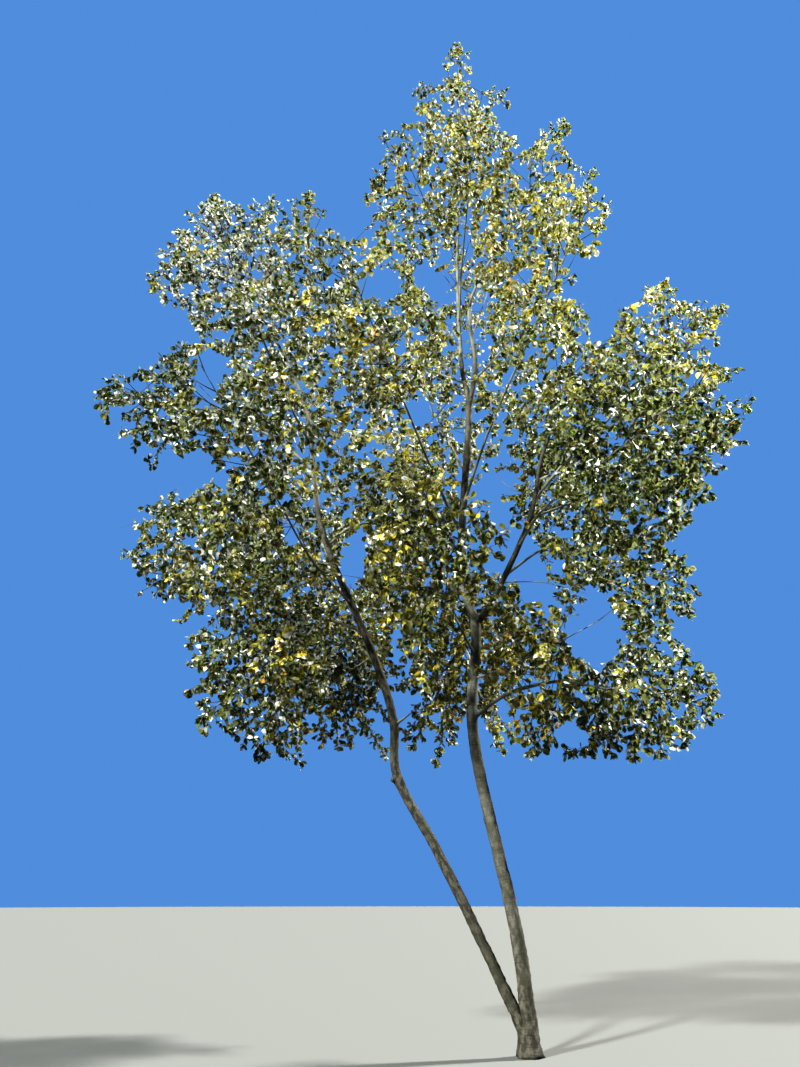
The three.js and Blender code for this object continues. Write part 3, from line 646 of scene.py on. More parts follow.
# Floor and backdrop
FLOOR_TONE = (98, 100, 100)
FLOOR_ROUGHNESS = 0.9
FLOOR_RADIUS = 120
FLOOR_CORNERS = 96
FLOOR_DROP = 0.002
BACKDROP_TONE = (84, 138, 206)
BACKDROP_RADIUS = 140
BACKDROP_SEGMENTS = 64
BACKDROP_RINGS = 32

# Light: the sky, and each sun's tone, strength, width and turns, in degrees
SKY_TONE = (0.46, 0.55, 0.7)
SKY_STRENGTH = 0.15
SUNS = [
    ("soft_sun", (1, 0.975, 0.88), 9.5, 4, (46, 0, 110)),
    ("soft_fill", (0.98, 1, 0.92), 8.2, 4, (56, 0, -46)),
]


def unit(vector):
    return np.asarray(vector, float) / np.linalg.norm(vector)


def unit_rows(rows):
    return rows / np.maximum(np.linalg.norm(rows, axis=1), TINY)[:, None]


def turned(axis, away, round_angle):
    """A direction turned away from an axis by one angle, and round it by another"""
    start = np.array([1.0, 0, 0] if abs(axis[2]) > UPRIGHT else [0, 0, 1.0])
    across = unit(np.cross(start, axis))
    beside = np.cross(axis, across)
    spoke = across * math.cos(round_angle) + beside * math.sin(round_angle)
    return unit(axis * math.cos(away) + spoke * math.sin(away))


def step_lengths(points):
    return np.linalg.norm(np.diff(points, axis=0), axis=1)


def lengths_along(points):
    """How far along a row of points each of them is"""
    return np.concatenate([[0], np.cumsum(step_lengths(points))])


def points_at(points, along, where):
    """The points at some lengths along a row of points, or the one point at one length"""
    return np.stack([np.interp(where, along, points[:, axis]) for axis in range(3)], axis=-1)


def spaced(points, places):
    """Points along a row of points, at places from 0, its start, to 1, its end"""
    along = lengths_along(points)
    return points_at(points, along, np.asarray(places) * along[-1])


def smooth_curve(bends, count):
    """Evenly spaced points along a smooth curve through the bends"""
    bends = np.array(bends, float)
    whole = np.vstack([2 * bends[0] - bends[1], bends, 2 * bends[-1] - bends[-2]])
    share = np.linspace(0, 1, CURVE_POINTS, endpoint=False)[:, None]
    spans = []
    for before, start, end, after in zip(whole, whole[1:], whole[2:], whole[3:]):
        leave, arrive = (end - before) / 2, (after - start) / 2
        spans.append(
            (2 * share**3 - 3 * share**2 + 1) * start
            + (share**3 - 2 * share**2 + share) * leave
            + (3 * share**2 - 2 * share**3) * end
            + (share**3 - share**2) * arrive
        )
    return spaced(np.vstack([*spans, bends[-1:]]), np.linspace(0, 1, count))


def arc(start, bend, end, count):
    """Points along a simple arc that leaves its start towards the bend"""
    share = np.linspace(0, 1, count)[:, None]
    return (1 - share) ** 2 * start + 2 * share * (1 - share) * bend + share**2 * end


class Limb:
    """A stem, bough or branch: its points, its radius at each, and what grows out of it"""

    def __init__(self, name, points, radii):
        self.name = name
        self.seats = []
        self.set_line(np.array(points), np.array(radii))

    def set_line(self, points, radii):
        self.points = points
        self.radii = radii
        self.along = lengths_along(points)
        self.end_lead = unit(points[-1] - points[-2])

    def at_height(self, height):
        """The place along the limb, and the point, where it first reaches a height"""
        upper = max(int(np.argmax(self.points[:, 2] >= height)), 1)
        low, high = self.points[upper - 1], self.points[upper]
        share = (height - low[2]) / (high[2] - low[2])
        place = self.along[upper - 1] + share * (self.along[upper] - self.along[upper - 1])
        return place, low + share * (high - low)

    def run_on(self, points, tip_radius):
        """The limb goes on through more points, thinner all the way"""
        steps = step_lengths(points)
        share = np.cumsum(steps) / steps.sum()
        radii = self.radii[-1] + (tip_radius - self.radii[-1]) * share**STEM_TIP_CURVE
        self.set_line(np.vstack([self.points, points[1:]]), np.append(self.radii, radii))


class Mass:
    """The space of one leaf mass: an oval, parted from its neighbours by planes"""

    def __init__(self, number, name, carrier, centre, radii, height=None):
        self.number = number
        self.name = name
        self.carrier = carrier
        self.centre = np.array(centre, float)
        self.radii = np.array(radii, float)
        self.height = height
        self.size = self.radii.mean()

    def part_from(self, masses):
        """The planes between this mass and each other one, nearer to the smaller of the two"""
        others = [other for other in masses if other is not self]
        ways = np.array([other.centre - self.centre for other in others])
        apart = np.linalg.norm(ways, axis=1)
        sizes = np.array([other.size for other in others])
        self.border_ways = ways / apart[:, None]
        self.border_places = (apart**2 + self.size**2 - sizes**2) / (2 * apart)

    def reach(self, point, direction):
        """How far it is from a point to the edge of the space in a direction"""
        start = (point - self.centre) / self.radii
        step = direction / self.radii
        slope = start @ step
        inside = slope**2 - step @ step * (start @ start - 1)
        to_oval = (math.sqrt(max(inside, 0)) - slope) / (step @ step)
        speeds = self.border_ways @ direction
        rooms = self.border_places - self.border_ways @ (point - self.centre)
        towards = speeds > SLIGHT
        to_border = np.min(rooms[towards] / speeds[towards], initial=to_oval)
        return max(min(to_oval, to_border), 0)

    def share_of(self, points):
        """How far out each point is in the oval, from 0 in its middle to 1 at its edge"""
        return np.linalg.norm((points - self.centre) / self.radii, axis=1)

    def edge_towards(self, point, share):
        """The point of the oval on the way from its middle to a point, at a share of its half sizes"""
        way = point - self.centre
        return self.centre + way * share / np.linalg.norm(way / self.radii)


def make_masses():
    masses = [Mass(number, *row) for number, row in enumerate(MASSES)]
    for mass in masses:
        mass.part_from(masses)
    return masses


def tip_mass(masses, limb_name):
    """The mass that grows from the tip of a limb"""
    return next(mass for mass in masses if mass.carrier == limb_name and mass.height is None)


def radii_by_height(bends, points):
    """The radius at each point of a stem, from the diameters at its bends"""
    heights = [bend[2] for bend in bends]
    return np.interp(points[:, 2], heights, [bend[3] / 2 for bend in bends])


def mass_stem_points(mass, start, lead=None):
    """The points of a mass's stem: it runs on from a limb's end, or leaves its side and sags"""
    way = mass.centre - start
    forward = unit(way)
    room = mass.reach(mass.centre, forward) - STEM_END_ROOM
    while room > STEM_LEAST and not in_crown((mass.centre + forward * room)[None], 0)[0]:
        room -= STEM_STEP_BACK
    end = mass.centre + forward * room
    if lead is not None:
        bend = start + lead * STEM_BEND * np.linalg.norm(way)
    else:
        bend = start + way * STEM_BEND - np.array([0, 0, STEM_SAG * np.linalg.norm(way)])
    return arc(start, bend, end, MASS_STEM_POINTS)


def make_trunk():
    points = smooth_curve([bend[:3] for bend in TRUNK_BENDS], TRUNK_POINTS)
    trunk = Limb("trunk", points, radii_by_height(TRUNK_BENDS, points))
    fork_place = trunk.at_height(FORK_HEIGHT)[0]
    trunk.seats.append((fork_place, np.array(FORK_WAY), FORK_RADIUS))
    return trunk


def make_left_stem(masses):
    bends = [np.array(bend[:3]) for bend in LEFT_STEM_BENDS]
    tip = tip_mass(masses, "left_stem").edge_towards(bends[-1], BOUGH_ENTRY)
    points = smooth_curve([*bends, tip], LEFT_STEM_POINTS)
    rows = [*LEFT_STEM_BENDS, [0, 0, tip[2], 2 * LEFT_STEM_TIP_RADIUS]]
    return Limb("left_stem", points, radii_by_height(rows, points))


def seated(parent, height, child_radius, towards):
    """The point where a limb leaves its parent, which is told that it carries it"""
    place, start = parent.at_height(height)
    parent.seats.append((place, unit(np.asarray(towards) - start), child_radius))
    return start


def tapered_limb(name, points, diameter, taper):
    """A limb that thins evenly, at its end to a share of its first diameter"""
    share = np.linspace(0, 1, len(points))
    return Limb(name, points, diameter / 2 * (1 - (1 - taper) * share))


def make_bough(row, limbs, masses):
    name, parent, height, diameter, bends = row
    start = seated(limbs[parent], height, diameter / 2, bends[0])
    tip = tip_mass(masses, name).edge_towards(np.array(bends[-1]), BOUGH_ENTRY)
    points = smooth_curve([start, *bends, tip], BOUGH_POINTS + BOUGH_POINTS_A_BEND * len(bends))
    return tapered_limb(name, points, diameter, BOUGH_TAPER)


def make_open_branch(name, row, limbs):
    parent, height, diameter, bends = row
    start = seated(limbs[parent], height, diameter / 2, bends[0])
    points = smooth_curve([start, *bends], OPEN_BRANCH_POINTS_A_BEND * len(bends))
    return tapered_limb(name, points, diameter, OPEN_BRANCH_TAPER)


def make_stub(left_stem):
    lead = unit(STUB_DIRECTION)
    start = seated(left_stem, STUB_HEIGHT, STUB_RADII[0], left_stem.at_height(STUB_HEIGHT)[1] + lead)
    points = start + lead * np.linspace(0, STUB_LENGTH, STUB_POINTS)[:, None]
    return Limb("stub", points, np.linspace(*STUB_RADII, STUB_POINTS))


def make_side_stem(mass, limbs):
    """The thin limb of a mass that grows from the side of a stem"""
    start = seated(limbs[mass.carrier], mass.height, SIDE_STEM_RADIUS, mass.centre)
    radii = np.linspace(SIDE_STEM_RADIUS, STEM_TIP_RADIUS, MASS_STEM_POINTS)
    return Limb(f"{mass.name}_stem", mass_stem_points(mass, start), radii)


def make_limbs(masses):
    """Every limb by its name, and the stem of every mass as the points it grows round"""
    limbs = {"trunk": make_trunk(), "left_stem": make_left_stem(masses)}
    for row in BOUGHS:
        limbs[row[0]] = make_bough(row, limbs, masses)
    for index, row in enumerate(OPEN_BRANCHES):
        name = f"open_branch_{index}"
        limbs[name] = make_open_branch(name, row, limbs)
    limbs["stub"] = make_stub(limbs["left_stem"])
    stems = {}
    for mass in masses:
        if mass.height is None:
            carrier = limbs[mass.carrier]
            stems[mass.name] = mass_stem_points(mass, carrier.points[-1], carrier.end_lead)
        else:
            side_stem = make_side_stem(mass, limbs)
            limbs[side_stem.name] = side_stem
            stems[mass.name] = side_stem.points
    for mass in masses:
        if mass.height is None:
            limbs[mass.carrier].run_on(stems[mass.name], STEM_TIP_RADIUS)
    return limbs, stems


def picture_place(points):
    """Where points fall in the front view, in its pixels"""
    way = points - np.array(CAMERA_PLACE)
    ahead = way[:, 1] * math.cos(CAMERA_PITCH) + way[:, 2] * math.sin(CAMERA_PITCH)
    up = way[:, 2] * math.cos(CAMERA_PITCH) - way[:, 1] * math.sin(CAMERA_PITCH)
    across = PICTURE_WIDTH / 2 + FOCAL_PIXELS * way[:, 0] / ahead
    down = PICTURE_HEIGHT / 2 - FOCAL_PIXELS * up / ahead
    return across, down


def wavy_place(points):
    """Where points fall in the front view, moved to and fro by waves, so that an edge is uneven"""
    across, down = picture_place(points)
    across_turns, down_turns = DEPTH_TURNS
    by_height = EDGE_WAVE * np.sin(down / DOWN_STEP)
    by_depth = DEPTH_WAVE * np.sin(points[:, 1] * across_turns)
    across = across + by_height + by_depth
    down = down + EDGE_WAVE * np.sin(across / ACROSS_STEP + points[:, 1] * down_turns)
    return across, down


def in_crown(points, room):
    """True for each point within the crown's uneven edge in the front view, with some room round it"""
    across, down = wavy_place(points)
    middle_x, middle_y = CROWN_MIDDLE
    inward = np.hypot(across - middle_x, down - middle_y) + SLIGHT
    across = across + (middle_x - across) * room / inward
    down = down + (middle_y - down) * room / inward
    found = np.zeros(len(points), bool)
    for (x, y), (next_x, next_y) in zip(CROWN_EDGE, CROWN_EDGE[1:] + CROWN_EDGE[:1]):
        level = (y > down) != (next_y > down)
        found ^= level & (across < x + (down - y) * (next_x - x) / (next_y - y + TINY))
    return found


def oval_share(across, down, x, y, half_width, half_height):
    """How far out a place in the front view is in an oval, squared: 0 in its middle, 1 at its edge"""
    return ((across - x) / half_width) ** 2 + ((down - y) / half_height) ** 2


def with_places(value, across, down, rows):
    """A value in the front view, with what each row adds to it, softly, round its oval"""
    for *oval, extra in rows:
        value = value + extra * np.exp(-oval_share(across, down, *oval))
    return value


def fullness(points):
    """How much fuller than elsewhere the crown is at each point"""
    return with_places(1, *picture_place(points), FULL_PLACES)


def in_gap(points, size):
    """True for each point that would close a place where sky shows, whose edges are uneven"""
    across, down = picture_place(points)
    edge = np.ones(len(points))
    for across_step, down_step in GAP_STEPS:
        edge += GAP_WAVE * np.sin(across / across_step + down / down_step)
    found = np.zeros(len(points), bool)
    for oval in SKY_GAPS:
        found |= oval_share(across, down, *oval) < edge * size
    return found


class Growth:
    """What grows in the crown: thin branches and twigs, and the place of every leaf"""

    def __init__(self):
        self.lines = []
        self.leaves = []
        self.carriers = set()
        self.first_shoot = 0

    def wanted_lines(self, leaves):
        """The lines that carry others or enough leaves"""
        counts = np.bincount(leaves["spray"], minlength=len(self.lines) + 1)
        wanted = []
        for number, line in enumerate(self.lines, 1):
            if number in self.carriers or counts[number] >= BARE_TWIG_LEAVES:
                wanted.append(line)
        return wanted

    def add_line(self, points, first_radius, last_radius):
        self.lines.append((points, np.linspace(first_radius, last_radius, len(points))))

    def add_leaves(self, random, points, first, spacing, mass, extra=END_LEAVES):
        """Leaves round the last line, from a share of its length on, and a few more at its end"""
        length = step_lengths(points).sum()
        count = max(int(length * (1 - first) / spacing), 1)
        places = np.concatenate([first + (1 - first) * (np.arange(count) + 0.5) / count, np.ones(extra)])
        seats = spaced(points, places)
        lead = unit(points[-1] - points[-2])
        rounds = GOLDEN_ANGLE * np.arange(len(places)) + random.uniform(0, ANY_TURN)
        for seat, round_angle in zip(seats, rounds):
            outward = turned(lead, math.radians(random.uniform(*LEAF_ANGLES)), round_angle)
            self.leaves.append((*seat, *outward, mass.number, len(self.lines)))


def bent_line(start, direction, length, lift, count):
    """Points of a thin branch that leaves in a direction and bends up on its way"""
    end = start + direction * length + np.array([0, 0, lift * length])
    return arc(start, start + direction * length / 2, end, count)


def grow_branch(growth, mass, stem, index, random):
    """One branch of a mass, at its turn round the stem, up to near the edge of its space"""
    share = BRANCH_FIRST + (1 - BRANCH_FIRST) * (index + 0.5) / BRANCHES_A_MASS
    before, start, after = spaced(stem, [share - LEAD_ROOM, share, min(share + LEAD_ROOM, 1)])
    away = math.radians(BRANCH_OPEN_ANGLE + (BRANCH_TIP_ANGLE - BRANCH_OPEN_ANGLE) * share)
    round_angle = GOLDEN_ANGLE * (index + mass.number) + random.uniform(0, BRANCH_TURN_ANY)
    direction = turned(unit(after - before), away, round_angle)
    lift = BRANCH_LIFT * random.uniform(*BRANCH_LIFT_ANY)
    room = mass.reach(start, unit(direction + np.array([0, 0, lift])))
    length = room - random.uniform(*BRANCH_END_ROOM)
    for _ in range(BRANCH_TRIES):
        points = bent_line(start, direction, max(length, BRANCH_LEAST), lift, BRANCH_POINTS)
        clear = in_crown(points[-1:], 0)[0] and not in_gap(points[2:], GAP_FOR_TWIGS).any()
        length *= 1 if clear else BRANCH_SHORTER
    growth.add_line(points, BRANCH_RADIUS, TWIG_RADIUS)
    growth.add_leaves(random, points, BRANCH_LEAVES_FROM, LEAF_STEP * BRANCH_LEAF_SPACING, mass)
    return points


def bulge(ways, mass):
    """How far the edge of a mass stands out of its plain oval in each direction, as a share"""
    phase = mass.number * BULGE_SHIFT + np.arange(len(BULGE_WAVES))
    waves = np.sin(ways @ BULGE_WAVES.T + phase).mean(axis=1)
    return SPACE_SCALE + BULGE_DEPTH * waves


def space_depth(mass, ways):
    """How far out points are in the plain space of a mass, and in its uneven one, 1 at the edge"""
    upper_spire = (ways[:, 2] > 0) & (mass.name == SPIRE_MASS)
    roundness = np.where(upper_spire, SPIRE_ROUNDNESS, SPACE_ROUNDNESS)
    depth = np.sum(np.abs(ways) ** roundness[:, None], axis=1) ** (1 / roundness)
    return depth, depth / bulge(ways / depth[:, None], mass)


def twig_chance(points, share):
    """How likely a twig ends at each point: by its place in the mass, in clumps, and by its height"""
    inward = INNER_SHARE + (1 - INNER_SHARE) * np.minimum(share, 1) ** 2
    clump = np.cos(points @ CLUMP_WAVES.T + np.arange(len(CLUMP_WAVES))).mean(axis=1)
    clump = np.clip(CLUMP_MIDDLE + CLUMP_DEPTH * clump, CLUMP_LEAST, 1)
    upward = np.interp(points[:, 2], LEAFINESS_HEIGHTS, LEAFINESS)
    return inward * clump * (upward * fullness(points))


def spread_targets(mass, masses, random):
    """Points spread evenly through a mass's space, where its twigs end, nearest to its middle first"""
    reach = mass.radii * BETWEEN_SCALE
    count = int(np.prod(2 * reach) * TWIGS_A_CUBIC_METRE)
    steps = (np.arange(1, count + 1)[:, None] * EVEN_STEPS + random.random(3)) % 1
    points = mass.centre + (2 * steps - 1) * reach
    ways = (points - mass.centre) / mass.radii
    depth, share = space_depth(mass, ways)
    rooms = mass.border_places - (points - mass.centre) @ mass.border_ways.T
    neighbours = sum(other.share_of(points) < BETWEEN_SCALE for other in masses if other is not mass)
    between = (mass.share_of(points) < BETWEEN_SCALE) & (neighbours >= BETWEEN_NEIGHBOURS)
    kept = ((share < 1) | between) & (rooms.min(axis=1) > BORDER_ROOM)
    kept &= random.random(count) < twig_chance(points, share)
    kept &= ~in_gap(points, GAP_FOR_ENDS) & in_crown(points, 0)
    stands_out = (share > STANDING_OUT_FROM) & (random.random(count) < STANDING_OUT)
    points = points + ways * stands_out[:, None] * random.uniform(*STANDING_OUT_BY, (count, 1))
    return points[kept][np.argsort(depth[kept])]


def grow_twig(growth, seats, target, mass, random):
    """A twig from the nearest branch or twig that leads towards its target"""
    places, leads, owners = seats
    ways = target - places
    apart = np.linalg.norm(ways, axis=1) + SLIGHT
    along = np.sum(ways * leads, axis=1) / apart
    nearest = int(np.argmin(apart * (1 + TWIG_SIDEWAYS - TWIG_SIDEWAYS * along)))
    length = apart[nearest]
    start = places[nearest]
    halfway = (start + target)[None] / 2
    if not TWIG_LEAST < length < TWIG_MOST or in_gap(halfway, GAP_FOR_TWIGS)[0]:
        return seats
    bend = start + leads[nearest] * length * TWIG_BEND + (target - start) * TWIG_PULL
    points = arc(start, bend, target, TWIG_POINTS + int(length > TWIG_BENT_FROM))
    least, most = TWIG_THICKNESS
    short_first, long_first = TWIG_LEAVES_FROM
    growth.carriers.add(owners[nearest])
    growth.add_line(points, TWIG_RADIUS * min(least + length, most), TWIG_TIP_RADIUS)
    first = short_first if length < TWIG_LONG_FROM else long_first
    growth.add_leaves(random, points, first, LEAF_STEP, mass)
    new_places = arc(start, bend, target, TWIG_SEATS + 1)
    new_leads = unit_rows(np.diff(new_places, axis=0))
    new_owners = np.full(TWIG_SEATS, len(growth.lines))
    return np.vstack([places, new_places[1:]]), np.vstack([leads, new_leads]), np.append(owners, new_owners)


def grow_mass(growth, mass, masses, stem, random):
    """The branches of a mass round its stem, and twigs that fill its space from them"""
    lines, owners = [spaced(stem, np.linspace(STEM_SEATS_FROM, 1, SEATS_A_BRANCH))], [0]
    for index in range(BRANCHES_A_MASS):
        lines.append(grow_branch(growth, mass, stem, index, random))
        owners.append(len(growth.lines))
    places = [spaced(line, np.linspace(SEATS_FROM, 1, SEATS_A_BRANCH)) for line in lines]
    leads = [np.gradient(row, axis=0) for row in places]
    seats = (np.vstack(places), unit_rows(np.vstack(leads)), np.repeat(owners, SEATS_A_BRANCH))
    for target in spread_targets(mass, masses, random):
        seats = grow_twig(growth, seats, target, mass, random)


def grow_shoot(growth, mass, stem, tip, random):
    """A long shoot from a mass's stem to a tip of its own, with side twigs, and leaves on its outer half"""
    start = spaced(stem, [SHOOT_FROM])[0]
    way = tip - start
    bend = start + way / 2 + np.array([0, 0, -SHOOT_SAG]) * np.linalg.norm(way)
    points = arc(start, bend, tip, SHOOT_POINTS)
    growth.add_line(points, SHOOT_RADIUS, TWIG_TIP_RADIUS)
    growth.add_leaves(random, points, SHOOT_LEAVES_FROM, SHOOT_LEAF_STEP, mass, SHOOT_END_LEAVES)
    for place in SHOOT_TWIG_PLACES:
        seat = spaced(points, [place])[0]
        away = math.radians(random.uniform(*SHOOT_TWIG_ANGLES))
        direction = turned(unit(way), away, random.uniform(0, ANY_TURN))
        length = random.uniform(*SHOOT_TWIG_LENGTHS) * (SHOOT_TWIG_NONE_AT - place)
        twig = bent_line(seat, direction, length, SHOOT_TWIG_LIFT, SHOOT_TWIG_POINTS)
        growth.add_line(twig, TWIG_RADIUS, TWIG_TIP_RADIUS)
        growth.add_leaves(random, twig, SHOOT_TWIG_LEAVES_FROM, LEAF_STEP, mass, SHOOT_TWIG_END_LEAVES)


def grow_crown(masses, stems):
    """All that grows in the masses, one after the other, and then the long shoots"""
    growth = Growth()
    for mass in masses:
        random = np.random.default_rng(SEED + mass.number)
        grow_mass(growth, mass, masses, stems[mass.name], random)
    growth.first_shoot = len(growth.lines) + 1
    random = np.random.default_rng(SEED + len(masses))
    masses_by_name = {mass.name: mass for mass in masses}
    for name, tips in LONG_SHOOTS:
        mass = masses_by_name[f"{name}_leaves"]
        for tip in np.array(tips, float):
            grow_shoot(growth, mass, stems[mass.name], tip, random)
    return growth


def set_values(mesh, name, kind, values, domain="POINT"):
    """A named value at each corner, or on each face, of a mesh"""
    field = "vector" if kind == "FLOAT_VECTOR" else "value"
    data = mesh.attributes.new(name, kind, domain).data
    data.foreach_set(field, np.asarray(values).ravel())


def new_object(name, data):
    """A new object in the scene, from a mesh, a lamp or a camera"""
    placed = bpy.data.objects.new(name, data)
    bpy.context.scene.collection.objects.link(placed)
    return placed


def bark_waves(random, angle, along, depth, turns, waves, count):
    """An uneven pattern that meets itself round the limb, mostly within its depth"""
    total = np.zeros((len(along), len(angle)))
    for _ in range(count):
        turn = random.integers(turns[0], turns[1] + 1) * random.choice([-1, 1])
        wave = random.uniform(*waves)
        phase = random.uniform(0, 2 * math.pi)
        total += np.cos(turn * angle + 2 * math.pi * wave * along[:, None] + phase)
    return depth * (total / math.sqrt(count))


def knot(random, angle, along, radii):
    """How far one knot, with the hollow of its eye, stands out of a limb at each corner"""
    place, turn = random.uniform(0, along[-1]), random.uniform(0, 2 * math.pi)
    size = random.uniform(*KNOT_SIZES)
    length = np.interp(place, along, radii) * size * KNOT_LENGTH
    across = np.angle(np.exp(1j * (angle - turn))) / (size * KNOT_WIDTH)
    gap = across**2 + ((along - place)[:, None] / length) ** 2
    eye = KNOT_EYE_DEPTH * np.exp(-gap * KNOT_EYE_NARROWER)
    return KNOT_HEIGHT * size * (np.exp(-gap) - eye)


def bark_relief(random, angle, along, radii, old_bark):
    """How far the bark stands out of the plain limb at each corner, as a share of its radius"""
    patterns = [bark_waves(random, angle, along, *rule) for rule in (LUMPS, ROUGHNESS, FOLDS, RIDGES)]
    lumps, rough, folds, ridges = patterns
    furrows = -FURROW_DEPTH * np.exp(-((ridges / FURROW_WIDTH) ** 2)) * old_bark[:, None]
    plates = PLATE_DEPTH * old_bark[:, None] * (rough > 0)
    relief = lumps + rough + folds + furrows + plates
    for _ in range(int(along[-1] * KNOTS_A_METRE)):
        relief += knot(random, angle, along, radii)
    return relief


def ring_frames(points):
    """Two directions across the limb at each of its points, which turn as little as can be"""
    leads = np.gradient(points, axis=0)
    leads /= np.linalg.norm(leads, axis=1)[:, None]
    side = np.array([1.0, 0, 0] if abs(leads[0][0]) < SIDEWAYS else [0, 1.0, 0])
    sides = []
    for lead in leads:
        side = unit(side - lead * (side @ lead))
        sides.append(side)
    sides = np.array(sides)
    return sides, np.cross(leads, sides)


def footed(limb, reach, points, along, radii, angle):
    """How far the bark reaches out, with the flare of the trunk's foot or the collar of a limb's"""
    if limb.name == "trunk":
        spread = (FLARE_DIAMETER / 2 - radii[0]) * np.exp(-points[:, 2] / FLARE_HEIGHT)
        return reach + spread[:, None] * (1 + FLARE_LOBE_DEPTH * np.cos(FLARE_LOBES * angle))
    if limb.name == "stub":
        return reach
    return reach * (1 + COLLAR_SHARE * np.exp(-along / (COLLAR_LENGTH * radii[0])))[:, None]


def swell_at_seats(limb, skin, spokes, points, along, radii):
    """The bark swells where another limb grows out of this one"""
    for place, lead, child_radius in limb.seats:
        foot = points_at(points, along, place) + lead * np.interp(place, along, radii)
        reach = SEAT_REACH * child_radius + SEAT_LEAST_REACH
        near = np.exp(-np.sum((skin - foot) ** 2, axis=2) / reach**2)
        skin += spokes * (near * SEAT_SHARE * child_radius)[:, :, None]


def tube_faces(corners, count):
    """The faces of a tube of rings, closed by a fan to one more corner at its foot and at its tip"""
    ring = np.arange(corners)
    ahead = np.roll(ring, -1)
    base = np.arange(count)[:, None] * corners
    quads = np.stack([base + ring, base + ahead, base + ahead + corners, base + ring + corners], axis=2)
    last = count * corners
    foot, tip = last + corners, last + corners + 1
    pairs = list(zip(ring.tolist(), ahead.tolist()))
    caps = [[foot, b, a] for a, b in pairs] + [[tip, last + a, last + b] for a, b in pairs]
    return quads.reshape(-1, 4).tolist() + caps


def bark_places(angle, along, radii, shift):
    """Where on the bark's pattern each corner is, as if the limb were straight, and both ends"""
    sides = [radii[:, None] * np.cos(angle), radii[:, None] * np.sin(angle)]
    places = np.stack([*sides, np.broadcast_to(along[:, None] + shift, sides[0].shape)], axis=2)
    return np.vstack([places.reshape(-1, 3), places[0].mean(0), places[-1].mean(0)])


def bark_skin(limb, corners, spacing, seed):
    """Corners, faces and bark values of one limb's skin, closed at both ends"""
    random = np.random.default_rng(seed)
    count = max(int(limb.along[-1] / spacing), LEAST_RINGS)
    along = np.linspace(0, limb.along[-1], count + 1)
    points = points_at(limb.points, limb.along, along)
    radii = np.interp(along, limb.along, limb.radii)
    angle = np.linspace(0, 2 * math.pi, corners, endpoint=False)
    old_bark = np.clip(OLD_BARK_FULL - points[:, 2] / OLD_BARK_HEIGHT, 0, 1) * (radii > OLD_BARK_RADIUS)
    relief = bark_relief(random, angle, along, radii, old_bark)
    side, cross = ring_frames(points)
    spokes = side[:, None] * np.cos(angle)[None, :, None] + cross[:, None] * np.sin(angle)[None, :, None]
    reach = footed(limb, radii[:, None] * (1 + relief), points, along, radii, angle)
    skin = points[:, None] + spokes * reach[:, :, None]
    swell_at_seats(limb, skin, spokes, points, along, radii)
    ends = np.array([points[0], points[-1] + (points[-1] - points[-2]) * TIP_ROUND])
    if limb.name == "trunk":
        skin[:, :, 2] = np.maximum(skin[:, :, 2], 0)
        ends[0][2] = 0
    vertices = np.vstack([skin.reshape(-1, 3), ends])
    girths_with_shade = np.concatenate([np.repeat(radii, corners), radii[[0, -1]]])
    # Older-looking bark is darker, so this factor also paints shade and light into the bark
    girths_with_shade *= np.interp(vertices[:, 2], *BARK_AGES_AND_SHADE.get(limb.name, ([0], [1])))
    return vertices, tube_faces(corners, count), bark_places(angle, along, radii, BARK_SHIFT * seed), girths_with_shade


def bark_piece(name, skins, material):
    """One piece from the skins of several limbs"""
    vertices, faces, places, girths_with_shade = [], [], [], []
    for skin_vertices, skin_faces, skin_places, skin_girths in skins:
        first = sum(len(part) for part in vertices)
        vertices.append(skin_vertices)
        faces += [[corner + first for corner in face] for face in skin_faces]
        places.append(skin_places)
        girths_with_shade.append(skin_girths)
    mesh = bpy.data.meshes.new(name)
    mesh.from_pydata(np.vstack(vertices).tolist(), [], faces)
    mesh.shade_smooth()
    set_values(mesh, "bark_place", "FLOAT_VECTOR", np.vstack(places))
    # The girth here also carries the bark's painted shade and light
    set_values(mesh, "girth", "FLOAT", np.concatenate(girths_with_shade))
    mesh.materials.append(material)
    return new_object(name, mesh)


class Tree:
    """A small builder of node trees: nodes in a row, links by socket name"""

    def __init__(self, tree):
        self.tree = tree

    def fill(self, socket, value):
        """A socket gets a value, or a link where the value is another node's socket"""
        if isinstance(value, bpy.types.NodeSocket):
            self.tree.links.new(value, socket)
        else:
            socket.default_value = value

    def add(self, kind, settings=(), **inputs):
        node = self.tree.nodes.new(kind)
        for name, value in dict(settings).items():
            setattr(node, name, value)
        for name, value in inputs.items():
            self.fill(node.inputs[name.replace("_", " ")], value)
        return node

    def product(self, one, other):
        """One number times another"""
        node = self.add("ShaderNodeMath", {"operation": "MULTIPLY"})
        self.fill(node.inputs[0], one)
        self.fill(node.inputs[1], other)
        return node.outputs[0]

    def mixed(self, share, one, other):
        """One colour to another by a share"""
        node = self.add("ShaderNodeMix", {"data_type": "RGBA"})
        for index, value in ((0, share), (6, one), (7, other)):
            self.fill(node.inputs[index], value)
        return node.outputs[2]

    def ranged(self, value, low, high):
        """A smooth step from 0 to 1 between two limits"""
        node = self.add("ShaderNodeMapRange", {"interpolation_type": "SMOOTHSTEP"}, Value=value)
        self.fill(node.inputs["From Min"], low)
        self.fill(node.inputs["From Max"], high)
        return node.outputs["Result"]

    def noise(self, place, scale, detail):
        return self.add("ShaderNodeTexNoise", Vector=place, Scale=scale, Detail=detail).outputs["Fac"]

    def stretched(self, place, scale):
        return self.add("ShaderNodeMapping", Vector=place, Scale=scale).outputs[0]


